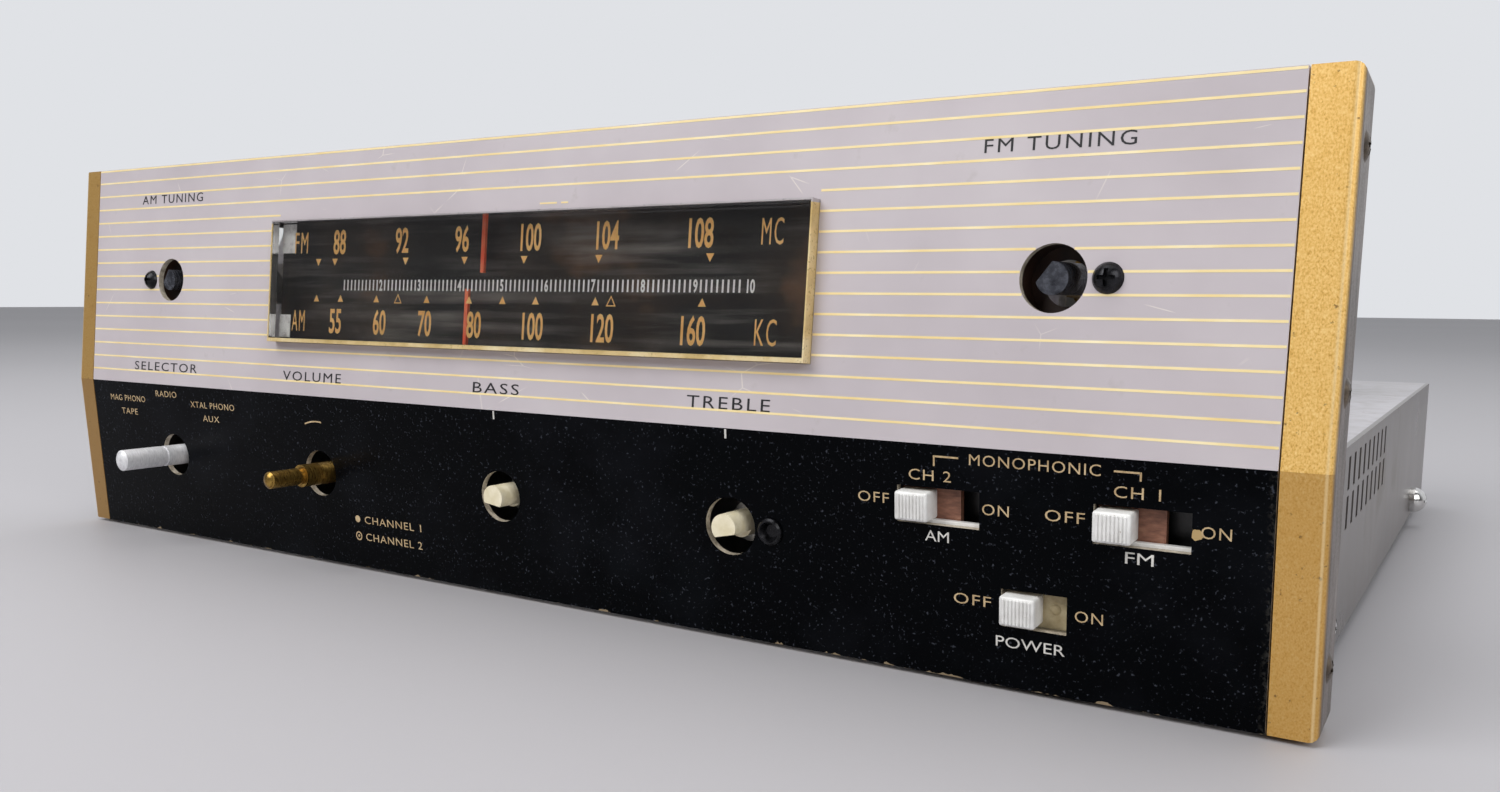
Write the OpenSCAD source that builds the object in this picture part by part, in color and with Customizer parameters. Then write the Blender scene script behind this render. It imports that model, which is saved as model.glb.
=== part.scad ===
// Tube stereo receiver with a two-band slide-rule dial, control knobs taken off.
// Millimetres. X runs to the right, Y to the back, Z up, and the table is Z = 0.
// The origin lies under the middle of the overall box.

/* [Front panel] */
// Width of the panel between the end caps
panel_w = 367.8; // [350:0.1:390]
// Thickness of the panel sheet
panel_t = 1.6; // [1.2:0.1:2.5]
// Length of the pale upper face along its slope
upper_len = 68.9; // [60:0.1:80]
// Backward lean of the upper face, in degrees
upper_lean = 5.5; // [3:0.1:9]
// Length of the black lower face along its slope
lower_len = 47.9; // [46:0.1:54]
// Backward lean of the lower face, in degrees
lower_lean = 3.5; // [1:0.1:6]
// Gap between the panel's bottom edge and the table
panel_lift = 1; // [0.6:0.1:3]
// Depth of the return flange along the panel's top edge
top_flange = 8; // [4:0.5:9]

/* [End caps] */
// Width of one end cap
cap_w = 8.55; // [8:0.05:14]
// Gap between the panel's end and an end cap
cap_gap = 0.3; // [0.1:0.1:0.6]
// Depth of an end cap from front to back
cap_depth = 13; // [11:0.1:16]
// Radius of the cap's outer front edge
cap_round = 1.8; // [1:0.1:3]
// Head diameter of the cap screws
cap_screw_head = 5.6; // [5:0.1:8]

/* [Dial] */
// Width of the clear lens
lens_w = 178.4; // [150:0.1:190]
// Height of the clear lens
lens_h = 33.2; // [28:0.1:36]
// Middle of the lens along X
lens_x = 0.9; // [-2:0.1:2]
// Height of the lens's lower edge above the bend, along the slope
lens_low = 16; // [14:0.1:20]
// How far the lens and its bezel stand out of the panel
lens_proud = 3; // [1.5:0.1:4]
// Wall of the gilt bezel beside and over the lens
bezel_t = 0.5; // [0.4:0.1:2]
// Height of the bezel's bottom rail
bezel_low = 1.1; // [0.8:0.1:2]
// Free depth behind the lens in which the pointers run
pointer_room = 6; // [5:0.1:8]
// Thickness of the dial plate
dial_plate_t = 1.2; // [0.8:0.1:2]
// Rest place of the FM pointer along X
fm_pointer_x = -11.4; // [-60:0.1:50]
// Rest place of the AM pointer along X
am_pointer_x = -16.5; // [-60:0.1:50]
// Width of a pointer's needle
needle_w = 1.2; // [0.8:0.1:2]

/* [Controls] */
// Distance between neighbouring control shafts
control_pitch = 70.5; // [69:0.1:72]
// Height of the control shafts above the table
control_z = 26.6; // [25:0.1:28]
// Diameter of a quarter-inch shaft
shaft_d = 6.35; // [6:0.01:6.5]
// Diameter of the inner volume shaft
inner_shaft_d = 4.76; // [4:0.01:5]
// Radial running clearance of a shaft in its bush
run_gap = 0.05; // [0.02:0.01:0.1]
// Diameter of the knob holes in the panel
knob_hole_d = 13.2; // [11:0.1:15]
// Reach of the selector shaft in front of the bend
selector_reach = 17.4; // [10:0.1:25]
// Reach of the inner volume shaft in front of the bend
inner_reach = 16.7; // [10:0.1:25]
// Reach of the outer volume shaft in front of the bend
outer_reach = 5.4; // [3:0.1:9]
// Reach of the bass and treble shafts in front of the bend
tone_reach = 1.5; // [0:0.1:6]
// Diameter of a control body
pot_d = 24; // [18:0.5:24]
// Depth of one control body
pot_depth = 9; // [7:0.5:9]
// Diameter of a control bushing
bushing_d = 9.5; // [8.5:0.1:11]

/* [Slide switches] */
// Width of a channel switch's slot
channel_slot_w = 17.8; // [15:0.1:20]
// Width of the power switch's slot
power_slot_w = 13.2; // [12:0.1:16]
// Height of every switch slot
slot_h = 7.6; // [6:0.1:9]
// Width of a slider's knob
slider_w = 7.2; // [5:0.1:7.4]
// Height of a slider's knob
slider_h = 6; // [4.5:0.1:6.2]
// Gap between a slider and the ends of its slot
slider_gap = 0.4; // [0.3:0.05:0.6]
// How far a slider's knob stands out of the panel
slider_proud = 2.8; // [0.5:0.1:4]
// Depth of a switch body behind the panel
switch_depth = 7.5; // [7:0.1:8.5]

/* [Tuning] */
// Distance of each tuning shaft from the middle
tuning_x = 142; // [138:0.1:150]
// Height of the tuning shafts along the upper slope
tuning_s = 33; // [28:0.1:38]
// Radius of the dial drums where the cord lies
drum_r = 39.4; // [37:0.1:39.6]
// Distance of each drum's axis from the middle
drum_x = 95; // [93:0.1:95]
// Height of the FM drum's axis above the table
fm_drum_z = 76; // [75.4:0.1:76.2]
// Height of the AM drum's axis above the table
am_drum_z = 71.6; // [71:0.1:71.8]
// Radius of the dial cord
cord_r = 0.4; // [0.3:0.05:0.5]
// Radius of the moving plates in the tuning gangs
rotor_r = 21; // [16:0.5:22]

/* [Chassis] */
// Width of the chassis
chassis_w = 375; // [365:0.5:384]
// Distance from the bend to the chassis front wall
chassis_front = 16.6; // [16.4:0.1:17]
// Depth of the chassis from front to back
chassis_depth = 289.8; // [285:0.1:310]
// Height of the chassis walls
chassis_h = 43.2; // [42:0.1:46]
// Thickness of the chassis sheet
sheet_t = 1.2; // [0.9:0.1:1.6]
// Gap left open at the spot-welded corners of the chassis walls
weld_gap = 0.1; // [0.05:0.05:0.2]
// Height of the rubber feet
foot_h = 3.6; // [3:0.1:6]
// Diameter of the rubber feet
foot_d = 14; // [10:0.5:18]
// Width of a vent slot in the side wall
vent_w = 3.4; // [2:0.1:5]
// Height of a vent slot in the side wall
vent_h = 7.4; // [5:0.1:9]
// Distance between neighbouring vent slots
vent_pitch = 9.6; // [7:0.1:11]
// Distance from the bend to the first vent slot
vent_start = 58; // [40:0.5:80]
// Number of vent slots in a row
vent_count = 10; // [6:1:12]

/* [Valves and transformers] */
// Diameter of an output valve
power_tube_d = 22; // [19:0.1:24]
// Height of an output valve above its socket
power_tube_h = 62; // [50:0.5:64]
// Diameter of a small valve
small_tube_d = 20; // [18:0.1:21.5]
// Height of a small valve above its socket
small_tube_h = 46; // [36:0.5:50]
// Height of a valve socket above the deck
socket_h = 5; // [3:0.1:7]
// Width of the power transformer's core
mains_core_w = 76; // [60:0.5:80]
// Depth of the power transformer's lamination stack
mains_stack = 32; // [24:0.5:36]
// Height of the power transformer's core
mains_core_h = 62; // [50:0.5:64]
// Width of an output transformer's core
output_core_w = 50; // [40:0.5:52]
// Depth of an output transformer's lamination stack
output_stack = 20; // [14:0.5:24]
// Height of an output transformer's core
output_core_h = 44; // [34:0.5:46]

/* [Hidden] */
$fn = 48;

// Small distance by which a cutter passes the face it cuts
cut = 1;
// Gap that keeps moving pieces clear of fixed ones
clear = 0.4;
// Gap of a pass-through hole round what passes through it
pass = 0.6;

// Depth of the rear fittings behind the chassis
rear_fitting_depth = 9;
half_w = panel_w / 2;
cap_x = half_w + cap_gap;
// The bend line is placed so that the origin lies under the middle of the depth
bend_y = (selector_reach - chassis_front - chassis_depth - rear_fitting_depth) / 2;
bend_z = panel_lift + lower_len * cos(lower_lean);
deck_z = foot_h + chassis_h;
wall_y = bend_y + chassis_front;
rear_y = wall_y + chassis_depth;
lens_flange = 4;
lens_flange_t = 2;
plate_y = panel_t + lens_flange_t + pointer_room;
plate_back = plate_y + dial_plate_t;
plate_low = lens_low - 6;
plate_top = lens_low + lens_h + 5;
plate_w = lens_w + 14;
needle_y = plate_y - 2.4;
tuning_z = bend_z + tuning_s * cos(upper_lean);
tuning_tip_y = bend_y + tuning_s * sin(upper_lean) - 0.6;
drum_t = 5;
drum_rim = 1.6;
// side is 1 for the FM drive on the right and -1 for the AM drive on the left
function drum_y(side) = bend_y + (side > 0 ? 25 : 37.5);
function drum_z(side) = side > 0 ? fm_drum_z : am_drum_z;
function drum_mid(side) = drum_y(side) + drum_t / 2;
// Plane of the cord's return run, behind the drum
function back_plane(side) = drum_y(side) + drum_t + 2.5;
function gang_y(side) = drum_y(side) + drum_t + 6;
gang_len = 44;
gang_wall = 1.5;
gang_w = 2 * rotor_r + 6;
rotor_shaft_d = 8;
function bracket_y(side) = drum_y(side) + drum_t + 6;
bush_len = 12;
bush_d = 10;
bracket_w = 26;
bracket_t = 1.5;
bushing_len = 7;
nut_t = 2.4;
nut_d = 14;
// Place on the deck: a share of its width from the middle, and a share of its depth from the front wall
function on_deck(across, along) = [across * chassis_w, wall_y + along * chassis_depth];
// Place on the deck: a share of its width from the middle, and a distance in front of the rear wall
function from_rear(across, back) = [across * chassis_w, rear_y - back];
mains_pos = from_rear(0.3, 70.4);
output_pos = [from_rear(0.06, 44.4), from_rear(-0.11, 44.4)];
filter_pos = [from_rear(-0.25, 61.4), from_rear(-0.37, 61.4)];
power_tubes = [for (i = [0 : 3]) on_deck(-0.16 + 0.1 * i, 0.6)];
small_tubes = [for (i = [0 : 2]) on_deck(-0.05 + 0.12 * i, 0.42)];
gang_clear = 16.3;
shielded_tubes = [
    [0.31 * chassis_w, gang_y(1) + gang_len + gang_clear],
    on_deck(0.31, 0.42),
    on_deck(-0.4, 0.285)];
if_shares = [[-0.4, 0.425], [-0.4, 0.565], [-0.3, 0.425], [-0.3, 0.565], [-0.2, 0.425]];
if_pos = [for (p = if_shares) on_deck(p[0], p[1])];
socket_d = 25;
socket_hole_d = 20;
can_d = 32;
can_h = 58;
if_side = 21;
if_h = 50;
foot_inset = [24, 26];
side_screw_z = foot_h + 6;
side_screw_y = [bend_y + 54, bend_y + 251];

// Places a child in the upper face's own frame: Y goes into the panel, Z up its slope
module on_upper() translate([0, bend_y, bend_z]) rotate([-upper_lean, 0, 0]) children();
// Places a child in the lower face's own frame: Z is negative down its slope
module on_lower() translate([0, bend_y, bend_z]) rotate([lower_lean, 0, 0]) children();
// A round bar along +Y that starts at the given point
module bar(x, y, z, d, len, fn = 48)
    translate([x, y, z]) rotate([-90, 0, 0]) cylinder(d = d, h = len, $fn = fn);
// A box given by its middle along X and its low corner along Y and Z
module slab(x, y, z, w, d, h) translate([x - w / 2, y, z]) cube([w, d, h]);

// Heights of the controls along the lower slope
function lower_s(z) = (bend_z - z) / cos(lower_lean);
control_x = [-2 * control_pitch, -control_pitch, 0, control_pitch];

// Switch table: middle of the slot along X, its middle down the slope, and its width
am_slot = [120.8, 12.7, channel_slot_w];
fm_slot = [161.2, 12.7, channel_slot_w];
power_slot = [141, 31.6, power_slot_w];
slots = [am_slot, fm_slot, power_slot];

// Screw places: X, then the height along the face's slope
upper_screws = [[-tuning_x - 10.4, tuning_s], [tuning_x + 10.4, tuning_s]];
lower_screw = [control_pitch + 10.6, -22.3];
panel_screw_d = 3.6;
panel_screw_head = 6;

module front_panel() color("silver") difference() {
    union() {
        on_upper() slab(0, 0, 0, panel_w, panel_t, upper_len);
        on_upper() slab(0, 0, upper_len - panel_t, panel_w, top_flange, panel_t);
        on_lower() slab(0, 0, -lower_len, panel_w, panel_t, lower_len);
    }
    on_upper() slab(lens_x, -cut, lens_low - bezel_low,
        lens_w + 2 * bezel_t, panel_t + 2 * cut, lens_h + bezel_low + bezel_t);
    for (x = [-tuning_x, tuning_x]) on_upper() bar(x, -cut, tuning_s, knob_hole_d, panel_t + 2 * cut);
    for (s = upper_screws) on_upper() bar(s[0], -cut, s[1], panel_screw_d + pass, panel_t + 2 * cut);
    for (x = control_x) on_lower() bar(x, -cut, -lower_s(control_z), knob_hole_d, panel_t + 2 * cut);
    on_lower() bar(lower_screw[0], -cut, lower_screw[1], panel_screw_d + pass, panel_t + 2 * cut);
    for (s = slots) on_lower() slab(s[0], -cut, -s[1] - slot_h / 2, s[2], panel_t + 2 * cut, slot_h);
}

// Side outline of an end cap in the (Y, Z) plane, drawn in from the edge by the given amount
module cap_half(lean_frame_upper, inset) {
    len = lean_frame_upper ? upper_len : lower_len;
    low = lean_frame_upper ? 0 : -len + inset;
    high = lean_frame_upper ? len - inset : 0;
    translate([inset, low]) square([cap_depth - inset, high - low]);
}
module cap_slice(is_upper, inset, x, t) {
    if (is_upper) on_upper() translate([x, 0, 0]) rotate([90, 0, 90]) linear_extrude(t) cap_half(true, inset);
    else on_lower() translate([x, 0, 0]) rotate([90, 0, 90]) linear_extrude(t) cap_half(false, inset);
}
module cap_body(is_upper) {
    slice = 0.1;
    steps = 4;
    hull() {
        cap_slice(is_upper, 0, cap_x, cap_w - cap_round);
        for (i = [1 : steps]) let (a = 90 * i / steps)
            cap_slice(is_upper, cap_round * (1 - cos(a)),
                cap_x + cap_w - cap_round * (1 - sin(a)) - slice, slice);
    }
}
// Each cap screw: whether it is in the upper half, and its height along that half's slope
cap_screw_s = [[true, 56], [true, 14], [false, -36]];
cap_screw_y = 6.4;
module cap_screw_place(s) {
    if (s[0]) on_upper() translate([cap_x + cap_w, cap_screw_y, s[1]]) rotate([0, 90, 0]) children();
    else on_lower() translate([cap_x + cap_w, cap_screw_y, s[1]]) rotate([0, 90, 0]) children();
}
cap_screw_d = 3.5;
module end_cap() color("goldenrod") difference() {
    union() {
        cap_body(true);
        cap_body(false);
    }
    for (s = cap_screw_s) cap_screw_place(s)
        translate([0, 0, -cap_w - cut]) cylinder(d = cap_screw_d + pass, h = cap_w + 2 * cut);
}
module right_end_cap() end_cap();
module left_end_cap() mirror([1, 0, 0]) end_cap();

// Domed head with a cross recess, on a shank that points down -Z
module pan_screw(head_d, head_h, shank_d, shank_l) difference() {
    union() {
        rotate_extrude() difference() {
            scale_r = head_d / 2;
            intersection() {
                translate([0, head_h - dome_r(scale_r, head_h)])
                    circle(r = dome_r(scale_r, head_h), $fn = 96);
                square([scale_r, head_h]);
            }
        }
        translate([0, 0, -shank_l]) cylinder(d = shank_d, h = shank_l + 0.01);
    }
    for (a = [0, 90]) rotate(a) translate([-head_d * 0.28, -0.4, head_h * 0.45])
        cube([head_d * 0.56, 0.8, head_h]);
}
function dome_r(half, h) = (half * half + h * h) / (2 * h);

module end_cap_screws() color("dimgray") for (side = [0, 1]) mirror([side, 0, 0])
    for (s = cap_screw_s) cap_screw_place(s)
        pan_screw(cap_screw_head, 0.8, cap_screw_d, cap_w + cap_gap + side_plate_gap + side_plate_t + 1);

// Low head with a round recess that narrows into the shank
module cup_screw(head_d, head_h, shank_d, shank_l) rotate_extrude() polygon([
    [0, -shank_l], [shank_d / 2, -shank_l], [shank_d / 2, 0], [head_d / 2, 0], [head_d / 2, head_h * 0.6],
    [head_d / 2 - 0.4, head_h], [head_d / 2 - 0.7, head_h], [shank_d / 2 - 0.4, -0.6], [0, -0.6]]);
module panel_screws() color("#222222") {
    for (s = upper_screws) on_upper() translate([s[0], 0, s[1]]) rotate([90, 0, 0])
        pan_screw(panel_screw_head, 2, panel_screw_d, 6);
    on_lower() translate([lower_screw[0], 0, lower_screw[1]]) rotate([90, 0, 0])
        cup_screw(panel_screw_head, 1, panel_screw_d, 6);
}

module dial_bezel() color("gold") on_upper() difference() {
    fit = 0.1;
    slab(lens_x, -lens_proud, lens_low - bezel_low + fit, lens_w + 2 * bezel_t - 2 * fit,
        lens_proud + panel_t, lens_h + bezel_low + bezel_t - 2 * fit);
    slab(lens_x, -lens_proud - cut, lens_low, lens_w, lens_proud + panel_t + 2 * cut, lens_h);
}
module dial_lens() color("white", 0.3) on_upper() {
    fit = 0.1;
    slab(lens_x, -lens_proud + 0.2, lens_low + fit,
        lens_w - 2 * fit, lens_proud + panel_t - 0.2, lens_h - 2 * fit);
    slab(lens_x, panel_t, lens_low - lens_flange,
        lens_w + 2 * lens_flange, lens_flange_t, lens_h + 2 * lens_flange);
}

post_x = [lens_x - plate_w / 2 + 4, lens_x + plate_w / 2 - 4];
post_s = [plate_low + 3.6, plate_top - 3.6];
// Plate with four posts riveted to it, which stand on the back of the lens flange
module dial_plate() color("#141414") on_upper() {
    slab(lens_x, plate_y, plate_low, plate_w, dial_plate_t, plate_top - plate_low);
    for (x = post_x, s = post_s) {
        bar(x, panel_t + lens_flange_t, s, 4.5, pointer_room + 0.01);
        bar(x, plate_back - 0.01, s, 3, 0.8);
    }
}
// Pilot lamps at the two ends of the lens, each on a clip from the back of the dial plate
lamp_d = 8;
lamp_len = 14;
lamp_y = plate_y - lamp_d / 2 + 0.2;
module dial_lamps() color("ivory") on_upper() for (side = [-1, 1])
    translate([lens_x, 0, lens_low + lens_h / 2]) {
    slab(side * (plate_w / 2 + 3), plate_back, -6, 22, 1, 12);
    slab(side * (plate_w / 2 + 13), lamp_y - 3.6, -6, 2, plate_back + 1 - lamp_y + 3.6, 12);
    translate([side * (plate_w / 2 + 7), lamp_y, 0]) rotate([0, 90, 0])
        cylinder(d = lamp_d, h = lamp_len, center = true);
}

// Radius of a cord run on the drum, on the tuning shaft and on a guide post
cord_gap = 0.4;
wrap_r = drum_r + cord_r + cord_gap;
turn_r = shaft_d / 2 + cord_r + cord_gap;
guide_r = 3.6;
guide_turn = guide_r + cord_r + 0.3;
function run_z(side) = drum_z(side) + wrap_r;
function guide_x(side) = side > 0 ? -80 : 66;
function guide_z(side) = run_z(side) - guide_turn;

// Open notch under the cord that a pointer hangs on
clip_w = 6;
clip_wall = 0.8;
arm_w = 3;
module cord_clip(x, side) {
    mid = drum_mid(side) - cord_lead;
    floor_z = run_z(side) - cord_r - 0.4 - clip_wall;
    half = cord_r + 0.4 + clip_wall;
    slab(x, mid - half, floor_z, clip_w, 2 * half, clip_wall);
    for (y = [mid - half, mid + half - clip_wall]) slab(x, y, floor_z, clip_w, clip_wall, clip_wall + 1.4);
}
// Turns a height on the table into a length up the upper slope, at a depth behind the face
function slope_s(z, y) = (z - bend_z + y * sin(upper_lean)) / cos(upper_lean);
hook_t = 1.2;
fm_needle_low = lens_low + 19.2;
am_needle_high = lens_low + 15;
// Needle hung from an arm over the dial plate, with a saddle on the plate's top edge
fm_arm_z = run_z(1) - cord_r - 0.4 - clip_wall - 1;
module fm_pointer() color("tomato") {
    top_s = slope_s(fm_arm_z + 1, needle_y + 0.8);
    on_upper() slab(fm_pointer_x, needle_y, fm_needle_low, needle_w, 0.8, top_s - fm_needle_low);
    on_upper() slab(fm_pointer_x, needle_y, plate_top + clear,
        arm_w, plate_back + clear + 0.8 - needle_y, hook_t);
    on_upper() slab(fm_pointer_x, plate_back + clear, plate_top - 3, arm_w, 0.8, 3 + clear + 0.1);
    arm_y = bend_y + needle_y * cos(upper_lean) + top_s * sin(upper_lean) - 0.1;
    slab(fm_pointer_x, arm_y + 0.3, fm_arm_z, arm_w - 0.2, drum_mid(1) + 0.2 - arm_y, 1.2);
    cord_clip(fm_pointer_x, 1);
}
// Needle on a hook that passes under the dial plate and up behind it to its own cord
drop_y = plate_back + 3.4;
am_arm_z = run_z(-1) - cord_r - 0.4 - clip_wall;
module am_pointer() color("tomato") {
    low_s = plate_low - clear - hook_t;
    top_s = slope_s(am_arm_z + 0.8, drop_y);
    on_upper() slab(am_pointer_x, needle_y, low_s, needle_w, 0.8, am_needle_high - low_s);
    on_upper() slab(am_pointer_x, needle_y, low_s, arm_w, drop_y + 1 - needle_y, hook_t);
    on_upper() slab(am_pointer_x, drop_y, low_s, arm_w, 1, top_s + 0.4 - low_s);
    arm_y = bend_y + drop_y * cos(upper_lean) + top_s * sin(upper_lean);
    slab(am_pointer_x, arm_y + 0.3, am_arm_z + 0.01,
        arm_w - 0.2, drum_mid(-1) + 0.4 - arm_y, clip_wall - 0.02);
    cord_clip(am_pointer_x, -1);
}

// Cord route: from the drum to the tuning shaft, a turn and a half there, back to the guide post,
// then along the top run to the drum, where both ends are held
cord_lead = 0.9;
function arc(cx, y0, y1, cz, r, a0, a1, n) = [for (i = [0 : n]) let (t = i / n, a = a0 + (a1 - a0) * t)
    [cx + r * cos(a), y0 + (y1 - y0) * t, cz + r * sin(a)]];
function cord_route(side) = let (
        dz = drum_z(side),
        front = drum_mid(side) - cord_lead,
        rear = drum_mid(side) + cord_lead,
        back = back_plane(side),
        gx = side * guide_x(side),
        gz = guide_z(side),
        lean = atan2(tuning_z - dz, tuning_x - drum_x),
        apart = norm([tuning_x - drum_x, tuning_z - dz]),
        leave = lean + acos((wrap_r - turn_r) / apart),
        home = atan2(gz - tuning_z, gx - tuning_x) - 270,
        flat = concat(
            arc(drum_x, rear, rear, dz, wrap_r, -90, leave - 360, 28),
            arc(tuning_x, rear, back, tuning_z, turn_r, leave, home - 360, 32),
            arc(gx, back, front, gz, guide_turn, home, -270, 12),
            arc(drum_x, front, front, dz, wrap_r, 90, -80, 24)))
    [for (p = flat) [side * p[0], p[1], p[2]]];

function unit(v) = v / norm(v);
function tangent(p, i) = unit(p[min(i + 1, len(p) - 1)] - p[max(i - 1, 0)]);
// Tube of the given radius along a list of points, closed at both ends
module tube(p, r, sides) {
    n = len(p);
    function side_axis(t) = unit(cross(t, [0, 1, 0]));
    points = [for (i = [0 : n - 1]) let (t = tangent(p, i), u = side_axis(t), v = cross(t, u))
        for (k = [0 : sides - 1]) p[i] + r * (cos(360 * k / sides) * u + sin(360 * k / sides) * v)];
    walls = [for (i = [0 : n - 2], k = [0 : sides - 1])
        let (a = i * sides + k, b = i * sides + (k + 1) % sides)
        each [[a, a + sides, b], [b, a + sides, b + sides]]];
    first = [for (k = [1 : sides - 2]) [0, k, k + 1]];
    base = (n - 1) * sides;
    last = [for (k = [1 : sides - 2]) [base, base + k + 1, base + k]];
    polyhedron(points, concat(walls, first, last));
}
module fm_dial_cord() color("tan") tube(cord_route(1), cord_r, 8);
module am_dial_cord() color("tan") tube(cord_route(-1), cord_r, 8);

// Bent uprights on the deck, each with the fixed post round which a cord turns back
upright_t = 1.2;
upright_w = 8;
module cord_guides() color("silver") for (side = [-1, 1]) {
    face = back_plane(side) + cord_r + 0.5;
    x = guide_x(side);
    slab(x, face, deck_z, upright_w, upright_t, guide_z(side) + 2 - deck_z);
    slab(x, face - 10, deck_z, upright_w, 10.01, upright_t);
    bar(x, drum_mid(side) - 3, guide_z(side), 2 * guide_r, face + 0.01 - drum_mid(side) + 3);
}

// Flats at the tips of the tuning shafts: length, depth, and their turn at rest, clockwise from the top
flat_len = 9;
flat_depth = 1.2;
flat_turn = -52;
collar_d = shaft_d + 5;
module tuning_shaft(side) {
    x = side * tuning_x;
    rear = bracket_y(side) + bush_len;
    difference() {
        bar(x, tuning_tip_y, tuning_z, shaft_d, rear + 5 - tuning_tip_y);
        rotate_about(x, tuning_z, flat_turn)
            slab(x, tuning_tip_y - cut, tuning_z + shaft_d / 2 - flat_depth, shaft_d + 2, flat_len + cut, 4);
    }
    difference() {
        bar(x, rear + clear, tuning_z, collar_d, 3);
        bar(x, rear, tuning_z, shaft_d - 0.02, 5);
    }
}
module fm_tuning_shaft() color("#2a2a2c") tuning_shaft(1);
module am_tuning_shaft() color("#2a2a2c") tuning_shaft(-1);

bush_flange_t = 1.6;
module tuning_bushes() color("goldenrod") for (side = [-1, 1]) difference() {
    union() {
        bar(side * tuning_x, bracket_y(side) - bush_flange_t, tuning_z, bush_d, bush_len + bush_flange_t);
        bar(side * tuning_x, bracket_y(side) - bush_flange_t, tuning_z, bush_d + 4, bush_flange_t);
    }
    bar(side * tuning_x, bracket_y(side) - 2 - cut, tuning_z, shaft_d + 2 * run_gap, bush_len + 2 + 2 * cut);
}
// Bent uprights on the deck that hold the tuning bushes
module tuning_brackets() color("silver") for (side = [-1, 1]) difference() {
    union() {
        slab(side * tuning_x, bracket_y(side), deck_z, bracket_w, bracket_t, tuning_z - deck_z + 12);
        slab(side * tuning_x, bracket_y(side), deck_z, bracket_w, 20, bracket_t);
    }
    bar(side * tuning_x, bracket_y(side) - cut, tuning_z, bush_d + 0.2, bracket_t + 2 * cut);
}

// Grooved dial drum with round lightening holes in its web
web_t = 1.6;
module drum(side) {
    x = side * drum_x;
    y = drum_y(side);
    z = drum_z(side);
    difference() {
        union() {
            bar(x, y, z, 2 * drum_r, drum_t, 96);
            bar(x, y, z, 2 * (drum_r + drum_rim), 0.8, 96);
            bar(x, y + drum_t - 0.8, z, 2 * (drum_r + drum_rim), 0.8, 96);
        }
        difference() {
            bar(x, y - cut, z, 2 * (drum_r - 3), drum_t - web_t + cut, 96);
            bar(x, y - cut, z, 16, drum_t + cut);
        }
        bar(x, y - cut, z, rotor_shaft_d, drum_t + 2 * cut);
        for (a = [30 : 60 : 330]) rotate_about(x, z, a) bar(x + 23, y - cut, z, 13, drum_t + 2 * cut);
    }
}
module rotate_about(x, z, a) translate([x, 0, z]) rotate([0, a, 0]) translate([-x, 0, -z]) children();
module fm_dial_drum() color("whitesmoke") drum(1);
module am_dial_drum() color("whitesmoke") drum(-1);

// Frame of a tuning gang: two end plates, a floor on four pillars, and the fixed plates on the left
stator_t = 1;
plate_gap = 4.4;
stator_count = floor((gang_len - 12) / plate_gap) + 1;
function stator_y(side, i) = gang_y(side) + 7 + i * plate_gap;
function gang_floor(side) = drum_z(side) - rotor_r - 3;
module gang_frames() color("silver") for (side = [-1, 1]) {
    x = side * drum_x;
    y = gang_y(side);
    z = drum_z(side);
    difference() {
        union() {
            for (e = [y, y + gang_len - gang_wall])
                slab(x, e, gang_floor(side), gang_w, gang_wall, z + 9 - gang_floor(side));
            slab(x, y, gang_floor(side), gang_w, gang_len, gang_wall);
            slab(x - gang_w / 2 + 1, y, z - 12, 2, gang_len, 18);
            for (i = [0 : stator_count - 1])
                translate([x - gang_w / 2 + 1, stator_y(side, i), z - 12])
                    cube([gang_w / 2 - 7, stator_t, 18]);
            for (sx = [-1, 1], e = [y + 6, y + gang_len - 6])
                translate([x + sx * (gang_w / 2 - 7), e, deck_z])
                    cylinder(d = 7, h = gang_floor(side) - deck_z + 0.01);
        }
        bar(x, y - cut, z, rotor_shaft_d + 2 * run_gap, gang_len + 2 * cut);
    }
}

// Moving half-round plates on the shaft that the drum sits on; turn is where the plates point at rest
module gang_rotor(side, turn) {
    x = side * drum_x;
    z = drum_z(side);
    y0 = drum_y(side) - 1;
    bar(x, y0, z, rotor_shaft_d - 0.04, gang_y(side) + gang_len + 3 - y0);
    rotate_about(x, z, turn) for (i = [0 : stator_count - 2]) difference() {
        bar(x, stator_y(side, i) + stator_t + (plate_gap - 2 * stator_t) / 2, z,
            2 * (rotor_r - 2), stator_t, 64);
        slab(x - rotor_r, gang_y(side) - cut, z - rotor_r - cut,
            2 * rotor_r, gang_len, 2 * rotor_r + 2 * cut);
        bar(x, gang_y(side) - cut, z, rotor_shaft_d - 0.06, gang_len + 2 * cut);
    }
}
module fm_gang_rotor() color("silver") gang_rotor(1, -102);
module am_gang_rotor() color("silver") gang_rotor(-1, -109.5);

// Threaded bushing that passes through the chassis wall, bored for its shaft
module bushing(x, bore) difference() {
    bar(x, wall_y - bushing_len, control_z, bushing_d, bushing_len + sheet_t + 0.01);
    bar(x, wall_y - bushing_len - cut, control_z, bore + 2 * run_gap, bushing_len + sheet_t + 2 * cut);
}
body_y = wall_y + sheet_t;
module control_body(x, sections, bore) {
    bushing(x, bore);
    difference() {
        for (i = [0 : sections - 1]) {
            bar(x, body_y + i * (pot_depth + 1), control_z, pot_d, pot_depth);
            if (i > 0) bar(x, body_y + i * (pot_depth + 1) - 1.01, control_z, pot_d - 4, 1.02);
        }
        bar(x, body_y - cut, control_z, bore + 2 * run_gap, sections * (pot_depth + 1) - 3 + cut);
    }
    for (i = [0 : sections - 1], a = [-6, 0, 6])
        slab(x + a, body_y + i * (pot_depth + 1) + 3, control_z - pot_d / 2 - 4, 2.4, 1, 7);
}
// Round shaft from its tip in front of the bend to the end of its control body
module control_shaft(x, reach, d, len_in_body)
    bar(x, bend_y - reach, control_z, d, chassis_front + sheet_t + reach + len_in_body);
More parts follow.
